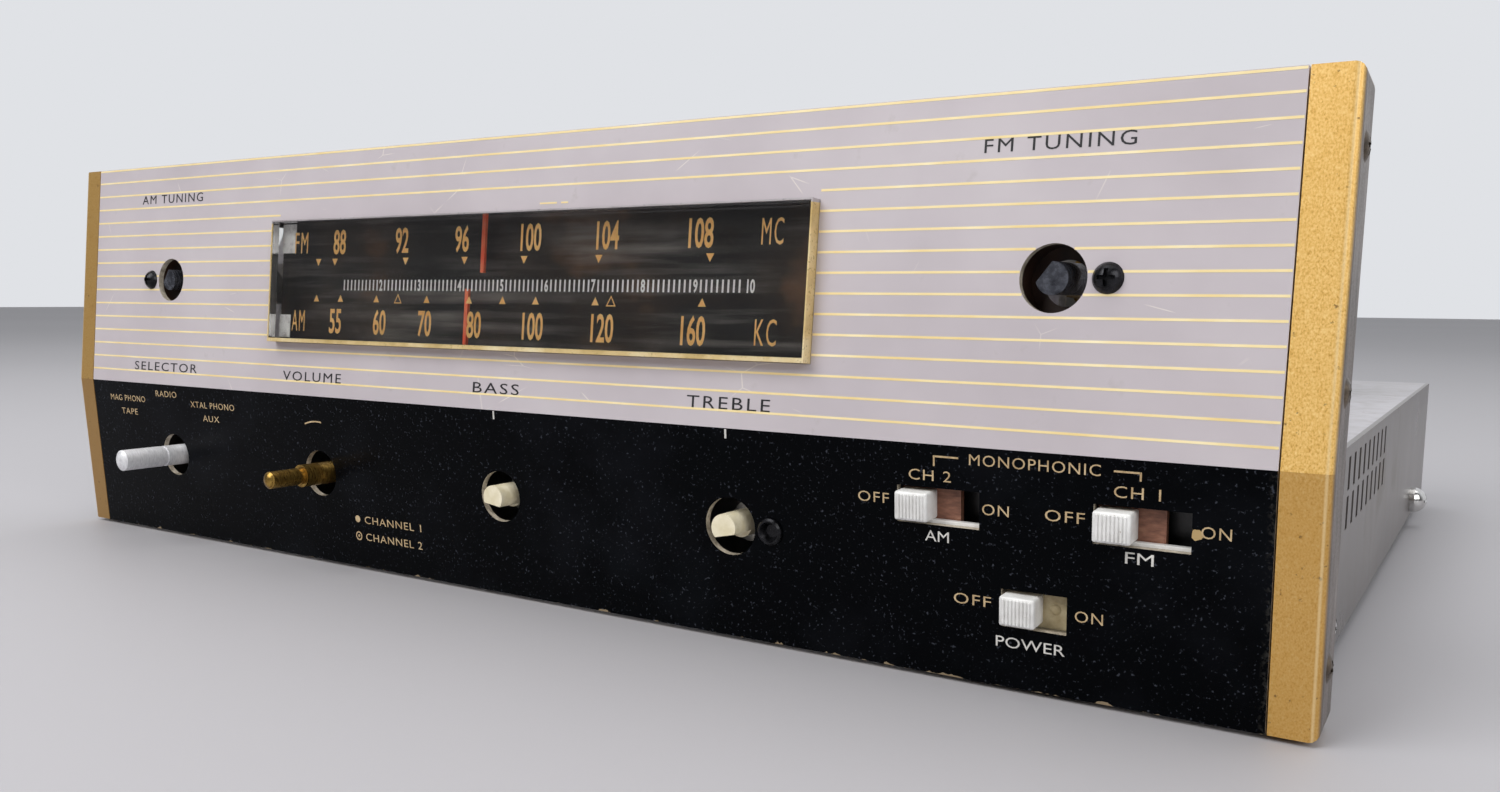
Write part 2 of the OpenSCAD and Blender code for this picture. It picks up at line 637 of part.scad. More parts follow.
// Ring cut for a clip, its rear side at the given reach in front of the bend
groove_w = 1;
groove_depth = 0.35;
module groove(x, reach, d) translate([x, bend_y - reach, control_z]) rotate([90, 0, 0]) difference() {
    cylinder(d = d + 2, h = groove_w);
    translate([0, 0, -cut]) cylinder(d = d - 2 * groove_depth, h = groove_w + 2 * cut);
}
// The same with a domed tip
tip_h = 1.1;
module domed_shaft(x, reach, d, len_in_body) {
    control_shaft(x, reach - tip_h, d, len_in_body);
    translate([x, bend_y - reach + tip_h, control_z]) rotate([90, 0, 0]) rotate_extrude() intersection() {
        translate([0, tip_h - dome_r(d / 2, tip_h)]) circle(r = dome_r(d / 2, tip_h), $fn = 96);
        translate([0, -0.01]) square([d / 2, tip_h + 0.01]);
    }
}

module volume_control() color("#8a6d3b") control_body(control_x[1], 2, shaft_d);
module tone_controls() color("#8a6d3b") for (x = [control_x[2], control_x[3]]) control_body(x, 1, shaft_d);
tone_len = pot_depth - 3;
module tone_shaft(x, flat_turn) difference() {
    control_shaft(x, tone_reach, shaft_d, tone_len);
    rotate_about(x, control_z, flat_turn)
        slab(x, bend_y - tone_reach - cut, control_z - shaft_d / 2 - 4 + 1.4, shaft_d + 2, 7 + cut, 4);
}
module bass_shaft() color("ivory") tone_shaft(control_x[2], 8);
module treble_shaft() color("ivory") tone_shaft(control_x[3], -12);
module volume_outer_shaft() color("darkgoldenrod") difference() {
    control_shaft(control_x[1], outer_reach, shaft_d, tone_len);
    control_shaft(control_x[1], outer_reach + cut, inner_shaft_d + 2 * run_gap, tone_len + cut);
}
module volume_inner_shaft() color("darkgoldenrod") difference() {
    domed_shaft(control_x[1], inner_reach, inner_shaft_d, 2 * pot_depth - 3);
    groove(control_x[1], outer_reach + 0.4, inner_shaft_d);
}

// Rotary wafer switch: square index plate, two phenolic wafers on spacer posts
wafer_d = 34;
wafer_step = 12;
index_t = 5;
module selector_switch() color("peru") {
    x = control_x[0];
    bushing(x, shaft_d);
    difference() {
        union() {
            slab(x, body_y, control_z - 14, 28, index_t, 28);
            for (i = [1, 2]) bar(x, body_y + i * wafer_step, control_z, wafer_d - 6, 1.6);
        }
        bar(x, body_y - cut, control_z, shaft_d + 2 * run_gap, 2 * wafer_step + 6 + cut);
    }
    for (sx = [-1, 1]) for (i = [0, 1])
        bar(x + sx * 9.5, body_y + (i == 0 ? index_t : wafer_step + 1.6), control_z, 4,
            i == 0 ? wafer_step - index_t : wafer_step - 1.6);
}
module selector_shaft() color("lightgray") difference() {
    domed_shaft(control_x[0], selector_reach, shaft_d, 2 * wafer_step + 4);
    groove(control_x[0], 2.8, shaft_d);
}

module control_nuts() color("silver") for (x = control_x) difference() {
    bar(x, wall_y - nut_t, control_z, nut_d, nut_t, 6);
    bar(x, wall_y - nut_t - cut, control_z, bushing_d + 0.1, nut_t + 2 * cut);
}

// Slide switch behind the panel: a tray whose window lines up with the panel's slot
tray_wall = 1.2;
carrier_t = 1.6;
carrier_lap = 5;
carrier_tail = 3;
function knob_x(s) = s[0] - s[2] / 2 + slider_gap + slider_w / 2;
channel_travel = channel_slot_w - 2 * slider_gap - slider_w - carrier_lap;
power_travel = power_slot_w - 2 * slider_gap - slider_w;
// Left and right ends of the space inside a tray
function tray_low(s) = knob_x(s) - slider_w / 2 - carrier_tail - clear;
function tray_high(s, travel) = knob_x(s) + slider_w / 2 + carrier_lap + travel + clear;
tray_h = slot_h + 2 * tray_wall + 1.6;
inside_h = tray_h - 2 * tray_wall;
module switch_body(s, travel) on_lower() difference() {
    low = tray_low(s);
    high = tray_high(s, travel);
    union() {
        translate([low - tray_wall, panel_t, -s[1] - tray_h / 2])
            cube([high - low + 2 * tray_wall, switch_depth, tray_h]);
        for (i = [-1, 0, 1])
            slab((low + high) / 2 + i * 6, panel_t + switch_depth - 0.01, -s[1] - 1.5, 1, 3, 3);
    }
    translate([low, panel_t + tray_wall, -s[1] - inside_h / 2])
        cube([high - low, switch_depth - 2 * tray_wall, inside_h]);
    slab(s[0], panel_t - cut, -s[1] - slot_h / 2, s[2], tray_wall + 2 * cut, slot_h);
}
carrier_y = panel_t + tray_wall + clear;
// Knob at the left end of its travel, through the slot and down to the carrier
module switch_knob(s) on_lower()
    slab(knob_x(s), -slider_proud, -s[1] - slider_h / 2, slider_w, slider_proud + carrier_y, slider_h);
// Plate inside the tray that the knob sits on
module switch_carrier(s) on_lower()
    translate([knob_x(s) - slider_w / 2 - carrier_tail, carrier_y, -s[1] - inside_h / 2 + clear])
        cube([slider_w + carrier_tail + carrier_lap, carrier_t, inside_h - 2 * clear]);
module channel_switch_bodies() color("silver") for (s = [am_slot, fm_slot]) switch_body(s, channel_travel);
module power_switch_body() color("silver") switch_body(power_slot, power_travel);
module am_switch_knob() color("white") switch_knob(am_slot);
module am_switch_carrier() color("sienna") switch_carrier(am_slot);
module fm_switch_knob() color("white") switch_knob(fm_slot);
module fm_switch_carrier() color("sienna") switch_carrier(fm_slot);
module power_switch_knob() color("white") {
    switch_knob(power_slot);
    switch_carrier(power_slot);
}

jack_x = [for (i = [0 : 3]) -150 + 20 * i];
jack_z = [foot_h + 14, foot_h + 31];
strip_x = 40;
strip_h = 24;
strip_z = foot_h + chassis_h / 2 - strip_h / 2;
outlet_x = 106;
fuse_x = 142;
gland_x = 166;
fitting_z = foot_h + 21;
vent_top_z = deck_z - 2.6;
vent_rows = [vent_top_z - vent_h, vent_top_z - vent_h - 8.8];
all_tubes = concat(power_tubes, small_tubes, shielded_tubes);
// Slots in the deck that the drums dip through
drum_slot = 1.2;
function slot_half(side) = sqrt(pow(drum_r + drum_rim, 2) - pow(drum_z(side) - deck_z + sheet_t, 2)) + 2;
module side_wall_cuts(side) {
    for (i = [0 : vent_count - 1], z = vent_rows)
        translate([side * chassis_w / 2 - sheet_t - cut, bend_y + vent_start + i * vent_pitch, z])
            cube([2 * (sheet_t + cut), vent_w, vent_h]);
    for (y = side_screw_y)
        translate([side * chassis_w / 2 - sheet_t - cut, y, side_screw_z]) rotate([0, 90, 0])
            cylinder(d = 4.4, h = 2 * (sheet_t + cut));
}
// Flat deck that the valves, gangs and transformers stand on
module chassis_deck() color("lightgray") difference() {
    slab(0, wall_y, deck_z - sheet_t, chassis_w - 2 * sheet_t, chassis_depth, sheet_t);
    for (side = [-1, 1]) slab(side * drum_x, drum_y(side) - drum_slot, deck_z - sheet_t - cut,
        2 * slot_half(side), drum_t + 2 * drum_slot, sheet_t + 2 * cut);
    for (t = all_tubes) translate([t[0], t[1], deck_z - sheet_t - cut])
        cylinder(d = socket_hole_d + 0.4, h = sheet_t + 2 * cut);
}
// Four walls welded to the deck: the front one carries the controls, the rear one the sockets
module cross_wall(y) slab(0, y, foot_h, chassis_w - 2 * (sheet_t + weld_gap), sheet_t,
    chassis_h - sheet_t);
module chassis_walls() color("lightgray") {
    difference() {
        cross_wall(wall_y);
        for (x = control_x) bar(x, wall_y - cut, control_z, bushing_d + 0.2, sheet_t + 2 * cut);
    }
    difference() {
        cross_wall(rear_y - sheet_t);
        for (x = jack_x, z = jack_z) bar(x, rear_y - sheet_t - cut, z, 6.6, sheet_t + 2 * cut);
        slab(outlet_x, rear_y - sheet_t - cut, fitting_z - 9, 24, sheet_t + 2 * cut, 18);
        bar(fuse_x, rear_y - sheet_t - cut, fitting_z, 12.4, sheet_t + 2 * cut);
        bar(gland_x, rear_y - sheet_t - cut, fitting_z, 11, sheet_t + 2 * cut);
    }
    for (side = [-1, 1]) difference() {
        slab(side * (chassis_w - sheet_t) / 2, wall_y, foot_h, sheet_t, chassis_depth, chassis_h);
        side_wall_cuts(side);
    }
}
// Bottom plate with turned-up sides that the side screws hold
plate_fit = 0.2;
module bottom_plate() color("gray") difference() {
    slab(0, wall_y + sheet_t + plate_fit, foot_h, chassis_w - 2 * (sheet_t + plate_fit),
        chassis_depth - 2 * (sheet_t + plate_fit), 12);
    slab(0, wall_y + sheet_t + plate_fit - cut, foot_h + sheet_t, chassis_w - 2 * (2 * sheet_t + plate_fit),
        chassis_depth + 2 * cut, 12);
    for (side = [-1, 1], y = side_screw_y)
        translate([side * chassis_w / 2 - 4 * sheet_t, y, side_screw_z]) rotate([0, 90, 0])
            cylinder(d = 4.4, h = 8 * sheet_t);
}
// Bright screws through the side walls into the bottom plate, low heads in front and round heads behind
side_heads = [[7, 1.3], [8.6, 5.2]];
module chassis_screws() color("white") for (side = [0, 1], i = [0, 1]) mirror([side, 0, 0])
    translate([chassis_w / 2, side_screw_y[i], side_screw_z]) rotate([0, 90, 0])
        pan_screw(side_heads[i][0], side_heads[i][1], 4, 7);
module rubber_feet() color("#1c1c1c") for (sx = [-1, 1], y = [wall_y + foot_inset[1], rear_y - foot_inset[1]])
    translate([sx * (chassis_w / 2 - foot_inset[0]), y, 0]) cylinder(d = foot_d, h = foot_h);

// Side plates behind the panel's ends: they take the cap screws and stand on the deck
side_plate_t = 2;
side_plate_gap = 0.3;
module panel_brackets() color("silver") for (side = [0, 1]) mirror([side, 0, 0]) difference() {
    x = half_w - side_plate_gap - side_plate_t / 2;
    union() {
        on_upper() slab(x, panel_t, 0, side_plate_t, cap_depth - panel_t, upper_len - 2 * panel_t);
        on_lower() slab(x, panel_t, -lower_len + 4, side_plate_t, cap_depth - panel_t, lower_len - 4);
        slab(x, bend_y + 6, deck_z, side_plate_t, 24, 14);
        slab(x - 5, wall_y, deck_z, side_plate_t + 10, 13.4, 1.5);
    }
    for (s = cap_screw_s) cap_screw_place(s)
        translate([0, 0, -cap_w - side_plate_t - 2 * cut])
            cylinder(d = cap_screw_d + pass, h = side_plate_t + 4 * cut);
}

// Moulded sockets that hang in the deck, flange on top
module valve_sockets() color("#4a2c1a") for (t = all_tubes) translate([t[0], t[1], deck_z]) {
    cylinder(d = socket_d, h = socket_h);
    translate([0, 0, -10]) cylinder(d = socket_hole_d, h = 10.01);
}
// Glass envelope with a domed top and its evacuation tip
module envelope(d, h) rotate_extrude() {
    square([d / 2, h - d / 2]);
    translate([0, h - d / 2]) intersection() {
        circle(d = d, $fn = 64);
        square([d / 2, d / 2]);
    }
    translate([0, h - 1]) polygon([[0, 0], [1.6, 0], [1, 2.4], [0, 3.4]]);
}
module valve(t, d, h) translate([t[0], t[1], deck_z + socket_h]) envelope(d, h - 3.4);
module output_valves() color("white", 0.4) for (t = power_tubes) valve(t, power_tube_d, power_tube_h);
module small_valves() color("white", 0.4) for (t = concat(small_tubes, shielded_tubes))
    valve(t, small_tube_d, small_tube_h);
// Aluminium shields, slotted at the top, over the radio valves
module shield() difference() {
    cylinder(d = small_tube_d + 3, h = small_tube_h + 2);
    translate([0, 0, -cut]) cylinder(d = small_tube_d + 1.4, h = small_tube_h + 2 + cut - 1);
    cylinder(d = 12, h = small_tube_h + 2 + cut);
}
module valve_shields() color("silver") for (t = shielded_tubes)
    translate([t[0], t[1], deck_z + socket_h]) shield();

// Lamination stack lying flat with its coil covers in front and behind
module power_transformer_core() color("#3a3a3a")
    slab(mains_pos[0], mains_pos[1] - mains_stack / 2, deck_z, mains_core_w, mains_stack, mains_core_h);
bell_d = 22;
module power_transformer_covers() color("#161616") for (side = [-1, 1])
    translate([mains_pos[0], mains_pos[1] + side * mains_stack / 2, deck_z + mains_core_h / 2])
        rotate([side > 0 ? -90 : 90, 0, 0]) hull() {
            translate([0, 0, 0.5]) cube([mains_core_w, mains_core_h, 1], center = true);
            translate([0, 0, bell_d - 3]) cube([mains_core_w - 10, mains_core_h - 10, 6], center = true);
        }
coil_w = output_core_w * 0.54;
coil_d = output_stack + 20;
coil_h = output_core_h * 0.56;
module output_transformer_cores() color("#3a3a3a") for (p = output_pos) difference() {
    slab(p[0], p[1] - output_stack / 2, deck_z, output_core_w, output_stack, output_core_h);
    slab(p[0], p[1] - output_stack, deck_z + output_core_h / 2 - coil_h / 2,
        coil_w, 2 * output_stack, coil_h);
}
module output_transformer_coils() color("burlywood") for (p = output_pos)
    slab(p[0], p[1] - coil_d / 2, deck_z + output_core_h / 2 - coil_h / 2, coil_w, coil_d, coil_h);

can_flange_w = 3;
can_flange_t = 2;
module filter_capacitors() color("silver") for (p = filter_pos) translate([p[0], p[1], deck_z]) {
    cylinder(d = can_d + 2 * can_flange_w, h = can_flange_t);
    cylinder(d = can_d, h = can_flange_t + can_h);
}
module if_cans() color("silver") for (p = if_pos) difference() {
    slab(p[0], p[1] - if_side / 2, deck_z, if_side, if_side, if_h);
    translate([p[0], p[1], deck_z + if_h - 4]) cylinder(d = 7, h = 5);
}
// Ferrite rod in two clips on the deck's rear edge
rod_len = 130;
rod_d = 9.5;
rod_pos = [-100, rear_y - 14, deck_z + 34];
module ferrite_antenna() color("#333333") {
    translate([rod_pos[0] - rod_len / 2, rod_pos[1], rod_pos[2]]) rotate([0, 90, 0])
        cylinder(d = rod_d, h = rod_len);
    for (sx = [-1, 1]) difference() {
        slab(rod_pos[0] + sx * rod_len * 0.36, rod_pos[1] - 8, deck_z,
            5, 16, rod_pos[2] - deck_z + rod_d / 2 + 2);
        translate([rod_pos[0] - rod_len, rod_pos[1], rod_pos[2]]) rotate([0, 90, 0])
            cylinder(d = rod_d - 0.02, h = 2 * rod_len);
    }
}

// Phono jacks: flange, shell, the tail through the wall and the bore for the plug's pin
jack_flange_d = 12;
jack_flange_t = 1.2;
jack_shell_d = 8.3;
jack_shell_len = 9;
jack_tail_d = 6.2;
jack_tail_len = 6;
jack_bore_d = 3.2;
jack_bore_depth = 13;
module phono_jacks() color("silver") for (x = jack_x, z = jack_z) difference() {
    union() {
        bar(x, rear_y, z, jack_flange_d, jack_flange_t);
        bar(x, rear_y, z, jack_shell_d, jack_shell_len);
        bar(x, rear_y - jack_tail_len, z, jack_tail_d, jack_tail_len + cut);
    }
    bar(x, rear_y + jack_shell_len - jack_bore_depth, z, jack_bore_d, jack_bore_depth + cut);
}
terminal_count = 6;
aerial_count = 4;
aerial_x = -13;
terminal_pitch = 12.5;
function strip_len(n) = n * terminal_pitch + 8;
strip_rows = [[strip_x, terminal_count], [aerial_x - strip_len(aerial_count) / 2, aerial_count]];
terminal_d = 3;
function terminal_at(r, i) = r[0] + (i - (r[1] - 1) / 2) * terminal_pitch;
// Moulded strips for the loudspeaker and aerial wires
module terminal_strips() color("sienna") for (r = strip_rows) difference() {
    slab(r[0], rear_y, strip_z, strip_len(r[1]), 3, strip_h);
    for (i = [0 : r[1] - 1])
        bar(terminal_at(r, i), rear_y - cut, strip_z + strip_h / 2, terminal_d + 0.4, 3 + 2 * cut);
}
module terminal_screws() color("gold") for (r = strip_rows, i = [0 : r[1] - 1])
    translate([terminal_at(r, i), rear_y + 3, strip_z + strip_h / 2]) rotate([-90, 0, 0])
        pan_screw(8, 3, terminal_d, 2.6);
// Mains outlet, fuse cap and the cord gland on the rear wall
module rear_mains_fittings() color("#1a1a1a") {
    difference() {
        union() {
            slab(outlet_x, rear_y, fitting_z - 11, 32, 2.5, 22);
            slab(outlet_x, rear_y - 12, fitting_z - 8.8, 23.6, 12.01, 17.6);
        }
        for (sx = [-1, 1]) slab(outlet_x + sx * 6.3, rear_y - 9, fitting_z - 4, 1.8, 20, 8);
    }
    bar(fuse_x, rear_y, fitting_z, 15, 8);
    bar(fuse_x, rear_y - 26, fitting_z, 12, 26.01);
    difference() {
        union() {
            bar(gland_x, rear_y, fitting_z, 15, 4);
            bar(gland_x, rear_y - 5, fitting_z, 10.8, 5.01);
            bar(gland_x, rear_y - sheet_t - 2.6, fitting_z, 14, 2.6);
        }
        bar(gland_x, rear_y - 10, fitting_z, 7, 20);
    }
}

front_panel();
left_end_cap();
right_end_cap();
end_cap_screws();
panel_screws();
dial_bezel();
dial_lens();
dial_plate();
dial_lamps();
fm_pointer();
am_pointer();
fm_dial_cord();
am_dial_cord();
cord_guides();
fm_tuning_shaft();
am_tuning_shaft();
tuning_bushes();
tuning_brackets();
fm_dial_drum();
am_dial_drum();
gang_frames();
fm_gang_rotor();
am_gang_rotor();
selector_switch();
selector_shaft();
volume_control();
volume_outer_shaft();
volume_inner_shaft();
tone_controls();
bass_shaft();
treble_shaft();
control_nuts();
channel_switch_bodies();
am_switch_knob();
am_switch_carrier();
fm_switch_knob();
fm_switch_carrier();
power_switch_body();
power_switch_knob();
chassis_deck();
chassis_walls();
bottom_plate();
chassis_screws();
rubber_feet();
panel_brackets();
valve_sockets();
output_valves();
small_valves();
valve_shields();
power_transformer_core();
power_transformer_covers();
output_transformer_cores();
output_transformer_coils();
filter_capacitors();
if_cans();
ferrite_antenna();
phono_jacks();
terminal_strips();
terminal_screws();
rear_mains_fittings();
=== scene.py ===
import math
import bmesh
import bpy
from mathutils import Matrix, Vector


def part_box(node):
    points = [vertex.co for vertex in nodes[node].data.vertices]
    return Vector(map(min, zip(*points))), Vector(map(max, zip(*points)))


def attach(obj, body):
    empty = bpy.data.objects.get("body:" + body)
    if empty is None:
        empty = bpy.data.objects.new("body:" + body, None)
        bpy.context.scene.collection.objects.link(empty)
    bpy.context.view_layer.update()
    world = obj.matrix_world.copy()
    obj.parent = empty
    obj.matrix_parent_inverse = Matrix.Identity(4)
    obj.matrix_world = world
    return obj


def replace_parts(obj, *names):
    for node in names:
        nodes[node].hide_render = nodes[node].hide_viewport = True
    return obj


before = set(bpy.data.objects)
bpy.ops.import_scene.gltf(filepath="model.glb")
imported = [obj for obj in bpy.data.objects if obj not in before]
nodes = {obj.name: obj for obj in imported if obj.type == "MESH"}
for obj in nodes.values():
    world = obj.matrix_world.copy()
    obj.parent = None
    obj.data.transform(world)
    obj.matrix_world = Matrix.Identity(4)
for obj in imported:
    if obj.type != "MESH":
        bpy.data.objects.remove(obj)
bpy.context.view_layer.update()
scene = bpy.context.scene
mm = 0.001
print("frame loaded:", len(nodes), "solids")

# The two faces of the bent panel, each with a frame of its own in millimetres: Y goes in, Z up the slope
panel = {"bendY": -149.0, "bendZ": 48.8107, "upperLean": 5.5, "lowerLean": 3.5, "half": 183.9}
onTable = Matrix.Diagonal((mm, mm, mm, 1))
bend = onTable @ Matrix.Translation((0, panel["bendY"], panel["bendZ"]))
onUpper = bend @ Matrix.Rotation(math.radians(-panel["upperLean"]), 4, "X")
onLower = bend @ Matrix.Rotation(math.radians(panel["lowerLean"]), 4, "X")

# The deck as its solids give it, in millimetres
deckLow, deckHigh = [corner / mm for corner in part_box("chassis_deck")]
wallsLow, wallsHigh = [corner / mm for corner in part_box("chassis_walls")]
chassisWide = wallsHigh.x - wallsLow.x
deckZ, wallY, rearY = deckHigh.z, deckLow.y, deckHigh.y


# Place on the deck by a share of its width and a share of its depth
def onDeck(across, along):
    return across * chassisWide, wallY + along * (rearY - wallY)


# Place on the deck by a share of its width and a distance in front of the rear wall
def fromRear(across, back):
    return across * chassisWide, rearY - back


def srgb(hexText):
    parts = [int(hexText[i:i + 2], 16) / 255 for i in (1, 3, 5)]
    return [c / 12.92 if c <= 0.04045 else ((c + 0.055) / 1.055) ** 2.4 for c in parts] + [1.0]


# Sets a node's inputs from numbers, hex colours or other nodes' outputs
def setInputs(tree, node, inputs):
    for key, value in dict(inputs).items():
        if isinstance(value, bpy.types.NodeSocket):
            tree.links.new(value, node.inputs[key])
        else:
            node.inputs[key].default_value = srgb(value) if isinstance(value, str) else value


# Adds a node with its settings, inputs and colour stops, and gives back one of its outputs
def addNode(tree, kind, inputs=(), out=0, stops=(), **settings):
    node = tree.nodes.new("ShaderNode" + kind)
    for key, value in settings.items():
        setattr(node, key, value)
    setInputs(tree, node, inputs)
    if stops:
        row = node.color_ramp.elements
        while len(row) < len(stops):
            row.new(0.5)
        for element, (place, shade) in zip(row, stops):
            element.position = place
            element.color = srgb(shade) if isinstance(shade, str) else [shade] * 3 + [1.0]
    return node.outputs[out] if node.outputs else node


# A material, its tree and shader, and the point on the object that its patterns read
def newMaterial(name):
    material = bpy.data.materials.new(name)
    material.use_nodes = True
    tree = material.node_tree
    tree.nodes.clear()
    shader = addNode(tree, "BsdfPrincipled").node
    addNode(tree, "OutputMaterial", {"Surface": shader.outputs[0]})
    return material, tree, shader, addNode(tree, "TexCoord", out="Object")


# Inputs of a noise pattern whose patches have a real size in millimetres
def grain(point, sizeMm, detail=4.0):
    return {"Vector": point, "Scale": 1000 / sizeMm, "Detail": detail, "Roughness": 0.55}


reliefDepth = 0.1 * mm   # height of the fine relief on the surfaces


# General finish: a mottled colour, uneven gloss and a little relief, with optional specks of dirt
def finish(name, stops, gloss, metallic=0.0, sizeMm=8.0, stretch=(1, 1, 1), bump=0.1, fineMm=0.6,
           specks=None, coat=0.0):
    material, tree, shader, point = newMaterial(name)
    drawn = addNode(tree, "Mapping", {"Vector": point, "Scale": stretch})
    broad = addNode(tree, "TexNoise", grain(drawn, sizeMm))
    fine = addNode(tree, "TexNoise", grain(drawn, fineMm, 2.0))
    colour = addNode(tree, "ValToRGB", {0: broad}, stops=stops)
    if specks:
        start = specks["from"]
        dirt = addNode(tree, "TexNoise", grain(point, specks["sizeMm"], 3.0))
        dirt = addNode(tree, "ValToRGB", {0: dirt}, stops=[(start, 0.0), (start + 0.05, 1.0)])
        colour = addNode(tree, "Mix", {0: dirt, 6: colour, 7: specks["colour"]}, 2, data_type="RGBA")
    uneven = addNode(tree, "Math", {0: broad, 1: fine}, operation="MULTIPLY")
    uneven = addNode(tree, "MapRange", {0: uneven, 1: 0.12, 2: 0.42, 3: gloss[0], 4: gloss[1]})
    relief = addNode(tree, "Bump", {"Height": fine, "Strength": bump, "Distance": reliefDepth})
    setInputs(tree, shader, {"Base Color": colour, "Roughness": uneven, "Metallic": metallic,
                             "Coat Weight": coat, "Normal": relief})
    return material


# Clear acrylic or glass: see-through, with a faint uneven haze
def clearMaterial(name, colour, rough, ior):
    material, tree, shader, point = newMaterial(name)
    drawn = addNode(tree, "Mapping", {"Vector": point, "Scale": (0.3, 1, 1)})
    haze = addNode(tree, "TexNoise", grain(drawn, 14.0))
    haze = addNode(tree, "MapRange", {0: haze, 1: 0.3, 2: 0.7, 3: rough[0], 4: rough[1]})
    setInputs(tree, shader, {"Base Color": colour, "Transmission Weight": 1.0, "IOR": ior,
                             "Roughness": haze})
    return material


# Two enamels on one sheet: satin silver above the bend, gloss black below, bare metal on the cut edges
def panelPaint():
    # Wear of the paint, with sizes in millimetres
    wear = {"cutFacing": 0.6, "cutBelow": 115.0, "edge": (1.5, 0.1), "scratchMm": 23.81, "scratch": 0.005,
            "flakeAt": (170.8, 36.0), "flakeSize": (1.0, 1.2), "flake": 0.95, "chip": (-0.4, 1.6)}
    material, tree, shader, point = newMaterial("panelEnamelSprayed")
    place = addNode(tree, "SeparateXYZ", {0: point}).node.outputs
    facing = addNode(tree, "SeparateXYZ", {0: addNode(tree, "TexCoord", out="Normal")}, 1)
    isUpper = addNode(tree, "Math", {0: place[2], 1: panel["bendZ"] * mm}, operation="GREATER_THAN")
    broad = addNode(tree, "TexNoise", grain(point, 40.0))
    fine = addNode(tree, "TexNoise", grain(point, 0.5, 2.0))
    patches = addNode(tree, "TexNoise", grain(point, 5.0, 5.0))

    # Silver with grime and a few hairline scratches
    silverStops = [(0.3, "#BAB2B6"), (0.5, "#C1B9BD"), (0.72, "#C8C1C4")]
    silver = addNode(tree, "ValToRGB", {0: broad}, stops=silverStops)
    grime = addNode(tree, "ValToRGB", {0: patches}, stops=[(0.66, 0.0), (0.78, 0.35)])
    silver = addNode(tree, "Mix", {0: grime, 6: silver, 7: "#A39C98"}, 2, data_type="RGBA")
    drawn = addNode(tree, "Mapping", {"Vector": point, "Scale": (1, 1, 1.6)})
    cells = {"Vector": drawn, "Scale": 1000 / wear["scratchMm"]}
    hairline = addNode(tree, "TexVoronoi", cells, feature="DISTANCE_TO_EDGE")
    hairline = addNode(tree, "Math", {0: hairline, 1: wear["scratch"]}, operation="LESS_THAN")
    rare = addNode(tree, "TexNoise", grain(point, 13.0, 1.0))
    rare = addNode(tree, "ValToRGB", {0: rare}, stops=[(0.62, 0.0), (0.7, 0.6)])
    hairline = addNode(tree, "Math", {0: hairline, 1: rare}, operation="MULTIPLY")
    silver = addNode(tree, "Mix", {0: hairline, 6: silver, 7: "#E6DFD6"}, 2, data_type="RGBA")

    # Black with haze and dust, worn along its right-hand edge
    haze = addNode(tree, "TexNoise", grain(point, 26.0, 6.0))
    haze = addNode(tree, "ValToRGB", {0: haze}, stops=[(0.5, 0.0), (0.75, 0.5)])
    black = addNode(tree, "Mix", {0: haze, 6: "#020305", 7: "#13151A"}, 2, data_type="RGBA")
    dust = addNode(tree, "TexNoise", grain(point, 0.7, 3.0))
    dust = addNode(tree, "ValToRGB", {0: dust}, stops=[(0.63, 0.0), (0.72, 1.0)])
    black = addNode(tree, "Mix", {0: dust, 6: black, 7: "#3A3D45"}, 2, data_type="RGBA")
    edgeFrom, edgeTo = [(panel["half"] - inward) * mm for inward in wear["edge"]]
    worn = addNode(tree, "TexNoise", grain(point, 0.8, 3.0))
    worn = addNode(tree, "ValToRGB", {0: worn}, stops=[(0.5, 0.0), (0.62, 0.5)])
    nearEdge = addNode(tree, "MapRange", {0: place[0], 1: edgeFrom, 2: edgeTo})
    worn = addNode(tree, "Math", {0: worn, 1: nearEdge}, operation="MULTIPLY")
    black = addNode(tree, "Mix", {0: worn, 6: black, 7: "#403E3B"}, 2, data_type="RGBA")

    # Paint flaked off beside the right-hand channel slot, and chipped along the bottom edge
    (flakeX, flakeZ), (flakeWide, flakeHigh) = wear["flakeAt"], wear["flakeSize"]
    away = {"Vector": point, "Scale": (1000 / flakeWide, 0, 1000 / flakeHigh)}
    away = {0: addNode(tree, "Mapping", away), 1: (flakeX / flakeWide, 0, flakeZ / flakeHigh)}
    away = addNode(tree, "VectorMath", away, "Value", operation="DISTANCE")
    ragged = addNode(tree, "TexNoise", grain(point, 1.1))
    ragged = addNode(tree, "MapRange", {0: ragged, 1: 0.3, 2: 0.7, 3: -0.5, 4: 0.5})
    ragged = addNode(tree, "Math", {0: away, 1: ragged}, operation="ADD")
    isFlake = addNode(tree, "Math", {0: ragged, 1: wear["flake"]}, operation="LESS_THAN")
    black = addNode(tree, "Mix", {0: isFlake, 6: black, 7: "#B79C6E"}, 2, data_type="RGBA")
    chipLow, chipHigh = [height * mm for height in wear["chip"]]
    chipTop = addNode(tree, "MapRange", {0: patches, 1: 0.3, 2: 0.7, 3: chipLow, 4: chipHigh})
    isChip = addNode(tree, "Math", {0: place[2], 1: chipTop}, operation="LESS_THAN")
    black = addNode(tree, "Mix", {0: isChip, 6: black, 7: "#8A7A63"}, 2, data_type="RGBA")

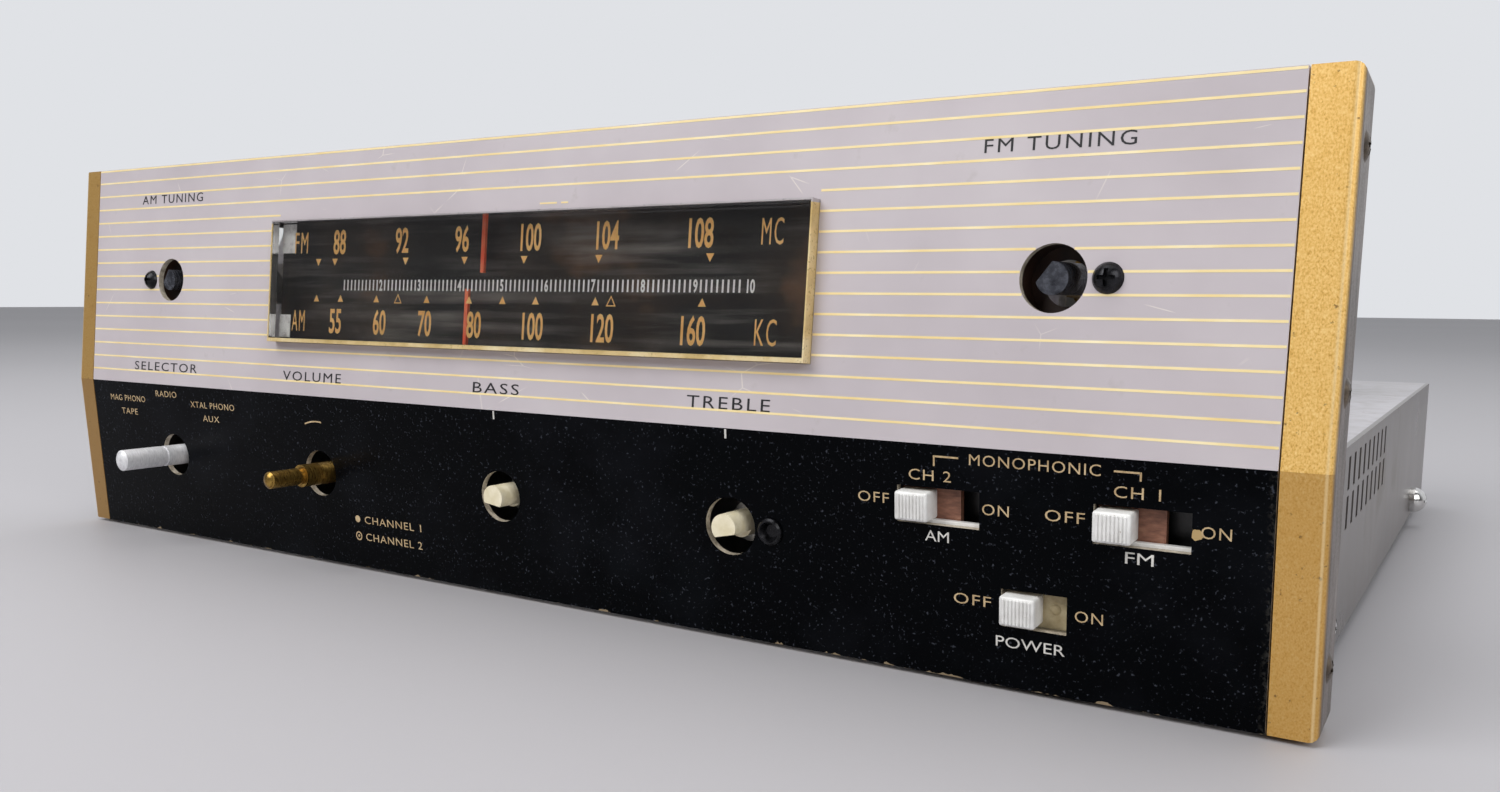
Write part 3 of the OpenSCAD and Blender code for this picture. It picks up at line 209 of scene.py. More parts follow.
    # Bare metal where the sheet was cut, apart from its top edge
    isCut = addNode(tree, "Math", {0: facing}, operation="ABSOLUTE")
    isCut = addNode(tree, "Math", {0: isCut, 1: wear["cutFacing"]}, operation="LESS_THAN")
    isBelow = addNode(tree, "Math", {0: place[2], 1: wear["cutBelow"] * mm}, operation="LESS_THAN")
    isCut = addNode(tree, "Math", {0: isCut, 1: isBelow}, operation="MULTIPLY")
    bare = addNode(tree, "TexNoise", grain(point, 1.5))
    bareStops = [(0.3, "#8C8272"), (0.55, "#BDB3A2"), (0.8, "#DAD2C3")]
    bare = addNode(tree, "ValToRGB", {0: bare}, stops=bareStops)

    colour = addNode(tree, "Mix", {0: isUpper, 6: black, 7: silver}, 2, data_type="RGBA")
    colour = addNode(tree, "Mix", {0: isCut, 6: colour, 7: bare}, 2, data_type="RGBA")
    blackGloss = addNode(tree, "MapRange", {0: broad, 1: 0.3, 2: 0.7, 3: 0.2, 4: 0.34})
    silverGloss = addNode(tree, "MapRange", {0: fine, 1: 0.3, 2: 0.7, 3: 0.38, 4: 0.5})
    gloss = addNode(tree, "Mix", {0: isUpper, 2: blackGloss, 3: silverGloss}, data_type="FLOAT")
    sheen = addNode(tree, "MapRange", {0: isUpper, 3: 0.04, 4: 0.5})
    relief = addNode(tree, "Bump", {"Height": fine, "Strength": 0.04, "Distance": reliefDepth})
    setInputs(tree, shader, {"Base Color": colour, "Roughness": gloss, "Specular IOR Level": sheen,
                             "Normal": relief})
    return material


# Gilt lacquer on the end castings: glittering specks in front, bare grey metal on the outer sides
def giltCasting():
    # Distances in from the outer side, in millimetres
    edge = {"sideFrom": 0.45, "sideTo": 0.05, "glintLine": 1.2, "glintWidth": (0.1, 0.35)}
    material, tree, shader, point = newMaterial("giltLacquerOverCasting")
    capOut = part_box("right_end_cap")[1].x
    place = addNode(tree, "SeparateXYZ", {0: point}).node.outputs
    outer = addNode(tree, "Math", {0: place[0]}, operation="ABSOLUTE")
    sideRange = {0: outer, 1: capOut - edge["sideFrom"] * mm, 2: capOut - edge["sideTo"] * mm}
    isSide = addNode(tree, "MapRange", sideRange)
    drawn = addNode(tree, "Mapping", {"Vector": point, "Scale": (1, 1, 0.7)})
    speck = addNode(tree, "TexNoise", grain(drawn, 0.32, 3.0))
    goldStops = [(0.28, "#CB9848"), (0.42, "#E9BA64"), (0.56, "#F4C878"), (0.75, "#FBDA94")]
    gold = addNode(tree, "ValToRGB", {0: speck}, stops=goldStops)
    wear = addNode(tree, "TexNoise", grain(point, 18.0))
    wear = addNode(tree, "ValToRGB", {0: wear}, stops=[(0.35, 0.0), (0.8, 0.4)])
    gold = addNode(tree, "Mix", {0: wear, 6: gold, 7: "#E0B058"}, 2, data_type="RGBA")
    # Painted shade below the bend, where the lower face turns down from the light, and the left casting
    # painted darker
    shadeBelowBend = addNode(tree, "Math", {0: place[2], 1: panel["bendZ"] * mm}, operation="LESS_THAN")
    shadeBelowBend = addNode(tree, "Math", {0: shadeBelowBend, 1: 0.5}, operation="MULTIPLY")
    gold = addNode(tree, "Mix", {0: shadeBelowBend, 6: gold, 7: "#93641F"}, 2, data_type="RGBA")
    isLeft = addNode(tree, "Math", {0: place[0], 1: 0.0}, operation="LESS_THAN")
    isLeft = addNode(tree, "Math", {0: isLeft, 1: 0.6}, operation="MULTIPLY")
    gold = addNode(tree, "Mix", {0: isLeft, 6: gold, 7: "#6B4C24"}, 2, data_type="RGBA")
    pits = addNode(tree, "TexNoise", grain(point, 1.6))
    pits = addNode(tree, "ValToRGB", {0: pits}, stops=[(0.66, 0.0), (0.72, 0.8)])
    gold = addNode(tree, "Mix", {0: pits, 6: gold, 7: "#6A4E28"}, 2, data_type="RGBA")
    # Painted highlight: a bright line along the rounded outer edge, where it catches the light
    glintLine = addNode(tree, "Math", {0: outer, 1: capOut - edge["glintLine"] * mm}, operation="SUBTRACT")
    glintLine = addNode(tree, "Math", {0: glintLine}, operation="ABSOLUTE")
    near, far = [distance * mm for distance in edge["glintWidth"]]
    glintLine = addNode(tree, "MapRange", {0: glintLine, 1: near, 2: far, 3: 0.4, 4: 0.0})
    gold = addNode(tree, "Mix", {0: glintLine, 6: gold, 7: "#FBE6B4"}, 2, data_type="RGBA")
    drawn = addNode(tree, "Mapping", {"Vector": point, "Scale": (1, 1, 0.25)})
    side = addNode(tree, "TexNoise", grain(drawn, 3.0))
    side = addNode(tree, "ValToRGB", {0: side}, stops=[(0.3, "#4E453D"), (0.6, "#766C66"), (0.8, "#8E8683")])
    colour = addNode(tree, "Mix", {0: isSide, 6: gold, 7: side}, 2, data_type="RGBA")
    gloss = addNode(tree, "MapRange", {0: speck, 1: 0.3, 2: 0.7, 3: 0.32, 4: 0.5})
    relief = addNode(tree, "Bump", {"Height": speck, "Strength": 0.16, "Distance": reliefDepth})
    setInputs(tree, shader, {"Base Color": colour, "Roughness": gloss, "Metallic": 0.3, "Normal": relief})
    return material


# Lacquered trim round the dial: pitted gilt, with its top rail left silver
def bezelTrim():
    topRail = 49.0   # foot of the silver rail, in millimetres up the slope
    material, tree, shader, point = newMaterial("giltTrimLacquered")
    height = addNode(tree, "SeparateXYZ", {0: point}, 2)
    topZ = (panel["bendZ"] + topRail * math.cos(math.radians(panel["upperLean"]))) * mm
    isTop = addNode(tree, "Math", {0: height, 1: topZ}, operation="GREATER_THAN")
    speck = addNode(tree, "TexNoise", grain(point, 0.7, 3.0))
    gilt = addNode(tree, "TexNoise", grain(point, 10.0))
    gilt = addNode(tree, "ValToRGB", {0: gilt}, stops=[(0.3, "#C3A467"), (0.5, "#E2C88F"), (0.7, "#F6E6BC")])
    pits = addNode(tree, "ValToRGB", {0: speck}, stops=[(0.64, 0.0), (0.74, 0.7)])
    gilt = addNode(tree, "Mix", {0: pits, 6: gilt, 7: "#7C6236"}, 2, data_type="RGBA")
    silver = addNode(tree, "TexNoise", grain(point, 9.0))
    silver = addNode(tree, "ValToRGB", {0: silver}, stops=[(0.35, "#A9A3A5"), (0.7, "#BDB6B9")])
    colour = addNode(tree, "Mix", {0: isTop, 6: gilt, 7: silver}, 2, data_type="RGBA")
    gloss = addNode(tree, "MapRange", {0: speck, 1: 0.3, 2: 0.7, 3: 0.24, 4: 0.42})
    relief = addNode(tree, "Bump", {"Height": speck, "Strength": 0.08, "Distance": reliefDepth})
    setInputs(tree, shader, {"Base Color": colour, "Roughness": gloss, "Metallic": 0.25, "Normal": relief})
    return material


# Black painted dial card: browned in patches by lamp heat, with long pale streaks across it, a painted
# reflection of light off smears on the lens in front
def dialCard():
    material, tree, shader, point = newMaterial("dialCardBlackBrowned")
    drawn = addNode(tree, "Mapping", {"Vector": point, "Scale": (1, 1, 1.4)})
    heat = addNode(tree, "TexNoise", grain(drawn, 46.0))
    heatStops = [(0.42, "#120F0E"), (0.55, "#2E2014"), (0.68, "#74502F")]
    heat = addNode(tree, "ValToRGB", {0: heat}, stops=heatStops)
    # Painted reflection: pale streaks where light comes off the smeared lens
    drawn = addNode(tree, "Mapping", {"Vector": point, "Scale": (0.05, 1, 1)})
    smearReflection = addNode(tree, "TexNoise", grain(drawn, 4.0, 6.0))
    smearReflection = addNode(tree, "ValToRGB", {0: smearReflection}, stops=[(0.47, 0.0), (0.72, 1.0)])
    drawn = addNode(tree, "Mapping", {"Vector": point, "Scale": (1, 1, 1.6)})
    patch = addNode(tree, "TexNoise", grain(drawn, 32.0))
    patch = addNode(tree, "ValToRGB", {0: patch}, stops=[(0.42, 0.12), (0.62, 1.0)])
    smearReflection = addNode(tree, "Math", {0: smearReflection, 1: patch}, operation="MULTIPLY")
    colour = addNode(tree, "Mix", {0: smearReflection, 6: heat, 7: "#837D79"}, 2, data_type="RGBA")
    gloss = addNode(tree, "MapRange", {0: smearReflection, 1: 0.0, 2: 0.5, 3: 0.35, 4: 0.6})
    setInputs(tree, shader, {"Base Color": colour, "Roughness": gloss})
    return material


# Plated steel sheet: soft grey sheen, with stains that run down and a little rust
def platedSheet(name, stops, gloss):
    material, tree, shader, point = newMaterial(name)
    stain = addNode(tree, "TexNoise", grain(point, 60.0, 6.0))
    drawn = addNode(tree, "Mapping", {"Vector": point, "Scale": (1, 1, 0.15)})
    streak = addNode(tree, "TexNoise", grain(drawn, 6.0))
    drawn = addNode(tree, "Mapping", {"Vector": point, "Scale": (1, 1, 0.1)})
    fine = addNode(tree, "TexNoise", grain(drawn, 0.7, 2.0))
    colour = addNode(tree, "ValToRGB", {0: stain}, stops=stops)
    tint = addNode(tree, "ValToRGB", {0: streak}, stops=[(0.45, 0.0), (0.8, 0.35)])
    colour = addNode(tree, "Mix", {0: tint, 6: colour, 7: "#7B6E5B"}, 2, data_type="RGBA")
    rust = addNode(tree, "TexNoise", grain(point, 2.2, 5.0))
    rust = addNode(tree, "ValToRGB", {0: rust}, stops=[(0.7, 0.0), (0.76, 0.6)])
    colour = addNode(tree, "Mix", {0: rust, 6: colour, 7: "#6B4A2C"}, 2, data_type="RGBA")
    uneven = addNode(tree, "MapRange", {0: stain, 1: 0.3, 2: 0.7, 3: gloss[0], 4: gloss[1]})
    relief = addNode(tree, "Bump", {"Height": fine, "Strength": 0.05, "Distance": reliefDepth})
    setInputs(tree, shader, {"Base Color": colour, "Roughness": uneven, "Metallic": 0.85, "Normal": relief})
    return material


# Stacked iron sheets seen on edge: fine dark lines, drawn 1 mm apart because half a millimetre wouldn't show
def laminations():
    sheetMm = 0.9817
    material, tree, shader, point = newMaterial("laminatedIronVarnished")
    wave = {"Vector": point, "Scale": math.tau / (20 * sheetMm * mm), "Distortion": 0.6, "Detail": 1.0}
    bands = addNode(tree, "TexWave", wave, 1, bands_direction="Y")
    ironStops = [(0.2, "#1B1A1A"), (0.5, "#3B3735"), (0.9, "#55504B")]
    iron = addNode(tree, "ValToRGB", {0: bands}, stops=ironStops)
    gloss = addNode(tree, "TexNoise", grain(point, 9.0))
    gloss = addNode(tree, "MapRange", {0: gloss, 1: 0.3, 2: 0.7, 3: 0.35, 4: 0.6})
    relief = addNode(tree, "Bump", {"Height": bands, "Strength": 0.4, "Distance": reliefDepth})
    setInputs(tree, shader, {"Base Color": iron, "Roughness": gloss, "Metallic": 0.5, "Normal": relief})
    return material


paint = {
    "panel": panelPaint(),
    "cap": giltCasting(),
    "giltTrim": bezelTrim(),
    "dial": dialCard(),
    "iron": laminations(),
    # Screened inks: flat, nearly matt and a little uneven, as thin ink dries
    "giltLine": finish("giltLineScreened", [(0.3, "#F0D795"), (0.6, "#F8E6B2"), (0.8, "#FDF2CC")],
                       (0.3, 0.45), sizeMm=12.0, bump=0.02),
    "blackInk": finish("blackInkScreened", [(0.35, "#0C0C10"), (0.7, "#1C1C21")], (0.45, 0.6),
                       sizeMm=4.0, bump=0.02),
    "tanInk": finish("tanInkScreened", [(0.35, "#AE936C"), (0.6, "#CAB189"), (0.8, "#DAC5A0")], (0.5, 0.6),
                     sizeMm=2.0, bump=0.02),
    "whiteInk": finish("whiteInkScreened", [(0.35, "#C4C1BC"), (0.7, "#E2E0DA")], (0.5, 0.6),
                       sizeMm=2.0, bump=0.02),
    "dialGold": finish("dialFigureGoldInk", [(0.35, "#F4B865"), (0.6, "#FFCB7E"), (0.8, "#FFD996")],
                       (0.45, 0.6), sizeMm=6.0, bump=0.02),
    "dialWhite": finish("dialTickWhiteInk", [(0.35, "#F0EEEB"), (0.7, "#FFFFFF")], (0.45, 0.6),
                        sizeMm=6.0, bump=0.02),
    # Enamel on thin wire: bright red with a soft gloss
    "pointer": finish("pointerRedEnamel", [(0.35, "#FF6238"), (0.7, "#FF8C62")], (0.3, 0.45),
                      sizeMm=4.0, bump=0.03),
    # Clear acrylic and blown glass: what lies behind stays sharp, with a slight haze on the lens
    "lens": clearMaterial("dialLensClearAcrylic", "#FDFDFB", (0.01, 0.07), 1.49),
    "valveGlass": clearMaterial("valveBulbBlownGlass", "#F6FAFA", (0.0, 0.03), 1.5),
    # Oxidised, aged and nickelled screws: oily black, dull brown, bright
    "blackScrew": finish("screwBlackOxide", [(0.35, "#0D0D0F"), (0.7, "#2A2A2E")], (0.2, 0.36),
                         metallic=0.7, sizeMm=2.0),
    "dullScrew": finish("screwAgedBronze", [(0.3, "#3E342A"), (0.6, "#6A5C4C"), (0.8, "#93866F")],
                        (0.25, 0.45), metallic=0.85, sizeMm=1.5, bump=0.15),
    "brightScrew": finish("screwNickelPlated", [(0.3, "#C4C2BF"), (0.7, "#EAE9E7")], (0.1, 0.24),
                          metallic=1.0, sizeMm=3.0, bump=0.03),
    # Zinc plated pressings: cloudy grey with a soft shine
    "zinc": finish("sheetZincPlated", [(0.3, "#8F8D88"), (0.55, "#B4B2AD"), (0.8, "#CBC9C3")], (0.25, 0.45),
                   metallic=0.9, sizeMm=7.0, bump=0.06),
    # Turned and drawn aluminium: chalky where oxidised, silky where turned, streaked along the draw
    "paleShaft": finish("shaftAluminiumOxidised", [(0.3, "#D2D2D5"), (0.7, "#F2F2F4")], (0.4, 0.55),
                        metallic=0.35, sizeMm=1.5, stretch=(1, 5, 1), fineMm=0.4),
    "aluminium": finish("aluminiumTurned", [(0.3, "#CBCBCD"), (0.7, "#F0F0F1")], (0.34, 0.5),
                        metallic=0.85, sizeMm=1.2, stretch=(1, 6, 1), bump=0.08, fineMm=0.3),
    "drawnCan": finish("aluminiumDrawnCan", [(0.3, "#8F8F90"), (0.55, "#A9A9AA"), (0.8, "#BDBDBD")],
                       (0.34, 0.5), metallic=0.95, sizeMm=9.0, stretch=(1, 1, 0.3), bump=0.05),
    # Blackened steel and aged brass: faint rings from the lathe
    "darkSteel": finish("shaftSteelBlackened", [(0.35, "#3E4047"), (0.7, "#70737C")], (0.2, 0.34),
                        metallic=0.7, sizeMm=2.0, stretch=(1, 5, 1), bump=0.06),
    "brass": finish("brassTurnedAged", [(0.3, "#75592A"), (0.55, "#A08040"), (0.8, "#C6A45A")], (0.24, 0.42),
                    metallic=0.9, sizeMm=2.0, stretch=(1, 5, 1), bump=0.08),
    # Moulded nylon and plastics: even colour with a soft gloss, and some grime on the knobs
    "ivory": finish("nylonIvoryMoulded", [(0.35, "#E2D7B4"), (0.7, "#F3EACF")], (0.32, 0.48),
                    sizeMm=2.5, bump=0.06, coat=0.1),
    "whitePlastic": finish("switchKnobWhiteMoulded", [(0.35, "#DEDDDA"), (0.7, "#F4F4F2")], (0.28, 0.42),
                           sizeMm=3.0, bump=0.05, specks={"sizeMm": 0.8, "from": 0.7, "colour": "#A79B8A"}),
    "blackPlastic": finish("fittingBlackMoulded", [(0.3, "#0C0C0D"), (0.7, "#1E1E20")], (0.28, 0.45),
                           sizeMm=5.0, bump=0.08),
    # Phenolic boards and mouldings: brown, fibrous where cut, glossier where moulded
    "phenolic": finish("phenolicBoardBrown", [(0.3, "#6B4535"), (0.55, "#8C5F4B"), (0.8, "#A87C64")],
                       (0.45, 0.65), sizeMm=2.5, stretch=(1, 1, 3), bump=0.15),
    "beige": finish("carrierBoardBeige", [(0.3, "#A8966F"), (0.7, "#C9BB97")], (0.5, 0.7), sizeMm=2.0),
    "darkPhenolic": finish("socketPhenolicMoulded", [(0.3, "#24140D"), (0.7, "#3E261A")], (0.35, 0.5),
                           sizeMm=4.0, bump=0.06),
    # Cadmium plated deck and walls: the deck bright and cloudy, painted lighter as painted reflection, the
    # walls painted darker as painted shade
    "deck": platedSheet("deckSheetCadmiumPlated",
                        [(0.3, "#B2AFB0"), (0.5, "#C3C0C3"), (0.65, "#CBC9CC"), (0.8, "#A9A298")],
                        (0.4, 0.55)),
    "walls": platedSheet("wallSheetPlatedShaded",
                         [(0.3, "#6E6865"), (0.48, "#827D7A"), (0.62, "#908C8A"), (0.8, "#786F63")],
                         (0.24, 0.42)),
    # Moulded rubber: dull black with a fine grain
    "rubber": finish("footRubberMoulded", [(0.3, "#141414"), (0.7, "#242424")], (0.65, 0.8),
                     sizeMm=3.0, bump=0.25),
    # Stoved enamel: deep black gloss with a slight orange peel and a few rubbed specks
    "enamel": finish("coverBlackEnamel", [(0.3, "#0B0B0C"), (0.7, "#1B1B1D")], (0.22, 0.4), metallic=0.1,
                     sizeMm=14.0, bump=0.12, fineMm=1.2, coat=0.3,
                     specks={"sizeMm": 1.1, "from": 0.69, "colour": "#4A463F"}),
    # Varnished paper: amber, cloudy and a little wrinkled
    "paper": finish("coilPaperVarnished", [(0.3, "#7A5527"), (0.55, "#A67C3E"), (0.8, "#BE9858")],
                    (0.35, 0.55), sizeMm=10.0, stretch=(1, 1, 0.4), bump=0.25),
    # Fired ferrite: grey black and slightly rough
    "ferrite": finish("ferriteFired", [(0.3, "#141416"), (0.7, "#2A2A2D")], (0.4, 0.55),
                      metallic=0.2, sizeMm=5.0, bump=0.2),
    # Waxed braid: tan, matt and a little rough
    "cord": finish("dialCordWaxedBraid", [(0.3, "#6E5D3F"), (0.7, "#A48D66")], (0.6, 0.8),
                   sizeMm=0.8, bump=0.4, fineMm=0.3),
    # Carbonised nickel, cut mica and flashed silvering in the valves: sooty, pearly and mirror bright
    "anode": finish("anodeCarbonisedNickel", [(0.3, "#232325"), (0.7, "#454547")], (0.5, 0.7),
                    metallic=0.4, sizeMm=5.0, bump=0.2),
    "mica": finish("micaDiscCut", [(0.3, "#B7B0A0"), (0.7, "#DAD5C8")], (0.2, 0.4), sizeMm=4.0, bump=0.05),
    "getter": finish("getterFlashSilvered", [(0.3, "#6F6C68"), (0.7, "#BDBBB8")], (0.05, 0.15),
                     metallic=1.0, sizeMm=6.0, bump=0.02),
    # Painted reflection off the left end of the lens: crinkled white
    "lensReflection": finish("lensEndReflectionWhite", [(0.3, "#C4BFC1"), (0.5, "#F2F0F0"), (0.75, "#FFFFFF")], (0.35, 0.6),
                   sizeMm=2.2, bump=0.6, fineMm=1.4),
}

nodePaint = {
    "panel": ["front_panel"],
    "cap": ["left_end_cap", "right_end_cap"],
    "giltTrim": ["dial_bezel"],
    "lens": ["dial_lens"],
    "dial": ["dial_plate"],
    "pointer": ["fm_pointer", "am_pointer"],
    "cord": ["fm_dial_cord", "am_dial_cord"],
    "dullScrew": ["end_cap_screws"],
    "blackScrew": ["panel_screws"],
    "brightScrew": ["control_nuts", "chassis_screws", "phono_jacks", "terminal_screws"],
    "darkSteel": ["fm_tuning_shaft", "am_tuning_shaft"],
    "aluminium": ["fm_dial_drum", "am_dial_drum", "fm_gang_rotor", "am_gang_rotor"],
    "paleShaft": ["selector_shaft"],
    "brass": ["tuning_bushes", "volume_outer_shaft", "volume_inner_shaft"],
    "ivory": ["bass_shaft", "treble_shaft"],
    "whitePlastic": ["am_switch_knob", "fm_switch_knob", "power_switch_knob"],
    "phenolic": ["selector_switch", "am_switch_carrier", "fm_switch_carrier", "terminal_strips"],
    "zinc": ["dial_lamps", "cord_guides", "tuning_brackets", "gang_frames", "volume_control",
             "tone_controls", "power_switch_body", "bottom_plate", "panel_brackets"],
    "deck": ["chassis_deck"],
    "walls": ["chassis_walls"],
    "rubber": ["rubber_feet"],
    "darkPhenolic": ["valve_sockets"],
    "valveGlass": ["output_valves", "small_valves"],
    "drawnCan": ["valve_shields", "filter_capacitors", "if_cans"],
    "iron": ["power_transformer_core", "output_transformer_cores"],
    "enamel": ["power_transformer_covers"],
    "paper": ["output_transformer_coils"],
    "ferrite": ["ferrite_antenna"],
    # The zinc channel switch bodies take the black moulding as painted shade inside the switch slots
    "blackPlastic": ["rear_mains_fittings", "channel_switch_bodies"],
}
for paintName, nodeNames in nodePaint.items():
    for nodeName in nodeNames:
        mesh = nodes[nodeName].data
        mesh.materials.clear()
        mesh.materials.append(paint[paintName])
print("materials set:", len(paint), "on", sum(map(len, nodePaint.values())), "solids")


def makePiece(name, shape, paintName, body="receiver", sharpDeg=35):
    for edge in shape.edges:
        edge.smooth = len(edge.link_faces) == 2 and edge.calc_face_angle(0) < math.radians(sharpDeg)
    for face in shape.faces:
        face.smooth = True
    mesh = bpy.data.meshes.new(name)
    shape.to_mesh(mesh)
    shape.free()
    mesh.materials.append(paint[paintName])
    piece = bpy.data.objects.new(name, mesh)
    scene.collection.objects.link(piece)
    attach(piece, body)
    return piece


def addBlock(shape, place, low, high, rounding=0.0, segments=2):
    size = [b - a for a, b in zip(low, high)]
    middle = [(a + b) / 2 for a, b in zip(low, high)]
    box = Matrix.Translation(middle) @ Matrix.Diagonal((*size, 1))
    made = bmesh.ops.create_cube(shape, size=1.0, matrix=box)["verts"]
    if rounding:
        edges = list({edge for vert in made for edge in vert.link_edges})
        done = bmesh.ops.bevel(shape, geom=edges, offset=rounding, segments=segments, affect="EDGES",
                               profile=0.5, material=-1)
        made = list({v for face in done["faces"] for v in face.verts} | {v for v in made if v.is_valid})
    bmesh.ops.transform(shape, matrix=place, verts=made)


def addRod(shape, place, centre, radius, length, axis="Y", segments=32):
    quarter = math.pi / 2
    turns = {"X": (quarter, "Y"), "Y": (-quarter, "X"), "Z": (0, "Z")}
    stand = place @ Matrix.Translation(centre) @ Matrix.Rotation(turns[axis][0], 4, turns[axis][1])
    bmesh.ops.create_cone(shape, cap_ends=True, segments=segments, radius1=radius, radius2=radius,
                          depth=length, matrix=stand)


# Spins a profile of (radius, height) points about Z
def addSpun(shape, place, profile, steps=40):
    verts = [shape.verts.new((r, 0, z)) for r, z in profile]
    edges = [shape.edges.new(pair) for pair in zip(verts, verts[1:])]
    bmesh.ops.spin(shape, geom=verts + edges, cent=(0, 0, 0), axis=(0, 0, 1), angle=math.tau, steps=steps,
                   use_merge=True)
    bmesh.ops.remove_doubles(shape, verts=[v for v in shape.verts if not v.tag], dist=1e-4)
    made = [v for v in shape.verts if not v.tag]
    bmesh.ops.recalc_face_normals(shape, faces=list({f for v in made for f in v.link_faces}))
    bmesh.ops.transform(shape, matrix=place, verts=made)
    for vert in made:
        vert.tag = True


# Flat letters, given by their middle, their height and either their width or how narrow they are
def addWords(shape, words, place, x, s, height, wide=0.0, narrow=1.0, lift=-0.03, space=1.0, bold=0.0,
             back=False):
    curve = bpy.data.curves.new("letters", "FONT")
    curve.body = words
    curve.resolution_u = 3
    curve.extrude = 0.01
    curve.space_character = space
    curve.offset = bold
    letters = bpy.data.objects.new("letters", curve)
    scene.collection.objects.link(letters)
    bpy.context.view_layer.update()
    mesh = bpy.data.meshes.new_from_object(letters.evaluated_get(bpy.context.evaluated_depsgraph_get()))
    low = [min(v.co[i] for v in mesh.vertices) for i in (0, 1)]
    high = [max(v.co[i] for v in mesh.vertices) for i in (0, 1)]
    tall = height / (high[1] - low[1])
    across = wide / (high[0] - low[0]) if wide else tall * narrow
    middle = Matrix.Translation((-(low[0] + high[0]) / 2, -(low[1] + high[1]) / 2, 0))
    stand = Matrix.Rotation(math.pi if back else 0, 4, "Z") @ Matrix.Rotation(math.pi / 2, 4, "X")
    grow = Matrix.Diagonal((across, tall, 2.0, 1))
    mesh.transform(place @ Matrix.Translation((x, lift, s)) @ stand @ grow @ middle)
    shape.from_mesh(mesh)
    bpy.data.objects.remove(letters)
    bpy.data.curves.remove(curve)
    bpy.data.meshes.remove(mesh)


# Screened gilt lines across the upper face, broken by the dial, the holes and the screws
giltLines = {"pitch": 4.33, "top": 68.85, "topDrop": 0.35, "count": 15, "width": 0.5, "proud": 0.04,
             "half": panel["half"] - 0.15, "dial": (-88.9, 90.7, 14.8, 51.4), "dialClear": 0.4,
             "holes": [(-142, 33, 6.6), (142, 33, 6.6), (-152.4, 33, 2.1), (152.4, 33, 2.1)],
             "holeReach": 0.3, "holeClear": 0.1, "leastHalf": 0.2,
             "scraps": [(11.5, 17.0), (18.4, 20.6)], "scrapS": 51.53, "scrapWidth": 0.4}
shape = bmesh.new()
dialLeft, dialRight, dialLow, dialHigh = giltLines["dial"]
strips = []
for k in range(giltLines["count"] + 1):
    s = giltLines["top"] - giltLines["pitch"] * k - (giltLines["topDrop"] if k == 0 else 0)
    breaks = []
    if dialLow - giltLines["dialClear"] < s < dialHigh + giltLines["dialClear"]:
        breaks.append((dialLeft, dialRight))
    for x, holeS, r in giltLines["holes"]:
        if abs(s - holeS) < r + giltLines["holeReach"]:
            chord = (r + giltLines["holeClear"]) ** 2 - (s - holeS) ** 2
            half = math.sqrt(max(giltLines["leastHalf"] ** 2, chord))
            breaks.append((x - half, x + half))
    left = -giltLines["half"]
    for low, high in sorted(breaks) + [(giltLines["half"], None)]:
        if low > left:
            strips.append((left, low, s, giltLines["width"]))
        left = high
strips += [(x0, x1, giltLines["scrapS"], giltLines["scrapWidth"]) for x0, x1 in giltLines["scraps"]]
for x0, x1, s, width in strips:
    addBlock(shape, onUpper, (x0, -giltLines["proud"], s - width / 2), (x1, 0.0, s + width / 2))
makePiece("giltLines", shape, "giltLine")

# Control names: words, left and right end, and height of their middle along the slope
upperWords = [("FM TUNING", 126.6, 155.9, 58.6), ("AM TUNING", -159.0, -126.9, 58.4),
              ("SELECTOR", -159.9, -126.5, 5.6), ("VOLUME", -84.7, -59.3, 5.4), ("BASS", -8.2, 7.7, 5.5),
              ("TREBLE", 59.1, 81.2, 5.5)]
shape = bmesh.new()
for words, x0, x1, s in upperWords:
    addWords(shape, words, onUpper, (x0 + x1) / 2, s, height=2.7, wide=x1 - x0, space=1.2, bold=-0.002)
makePiece("upperLettering", shape, "blackInk")

# Switch and selector names: words, left and right end, and height of their middle, for each letter height
lowerWords = {2.2: [("MONOPHONIC", 127.5, 153.5, -2.5), ("CH 2", 114.5, 123.7, -6.4),
                    ("CH 1", 156.0, 164.5, -6.2), ("OFF", 102.9, 110.0, -12.0), ("ON", 130.3, 135.8, -12.2),
                    ("OFF", 143.0, 150.7, -12.0), ("ON", 171.7, 176.9, -12.2), ("OFF", 124.4, 132.3, -31.0),
                    ("ON", 149.2, 154.6, -31.2)],
              2.1: [("CHANNEL 1", -53.1, -30.4, -34.1), ("CHANNEL 2", -53.1, -30.4, -39.0)],
              1.9: [("MAG PHONO", -174.5, -154.9, -5.3), ("TAPE", -168.9, -159.9, -9.6),
                    ("RADIO", -148.6, -137.4, -3.0), ("XTAL PHONO", -130.3, -108.3, -5.5),
                    ("AUX", -124.6, -116.4, -9.6)]}
inkLow, inkHigh = -0.05, -0.01
inkMiddle, inkThick = (inkLow + inkHigh) / 2, inkHigh - inkLow
shape = bmesh.new()
for height, rows in lowerWords.items():
    for words, x0, x1, s in rows:
        addWords(shape, words, onLower, (x0 + x1) / 2, s, height, x1 - x0, space=1.12, bold=-0.004)
# Brackets from the heading to each channel: left and right end, place and foot of the drop
brackets = {"low": -2.58, "high": -2.22, "rows": [(120.0, 125.2, 120.0, -4.4), (155.9, 160.8, 160.8, -3.9)]}
half = (brackets["high"] - brackets["low"]) / 2
for x0, x1, drop, foot in brackets["rows"]:
    addBlock(shape, onLower, (x0, inkLow, brackets["low"]), (x1, inkHigh, brackets["high"]))
    addBlock(shape, onLower, (drop - half, inkLow, foot), (drop + half, inkHigh, brackets["high"]))
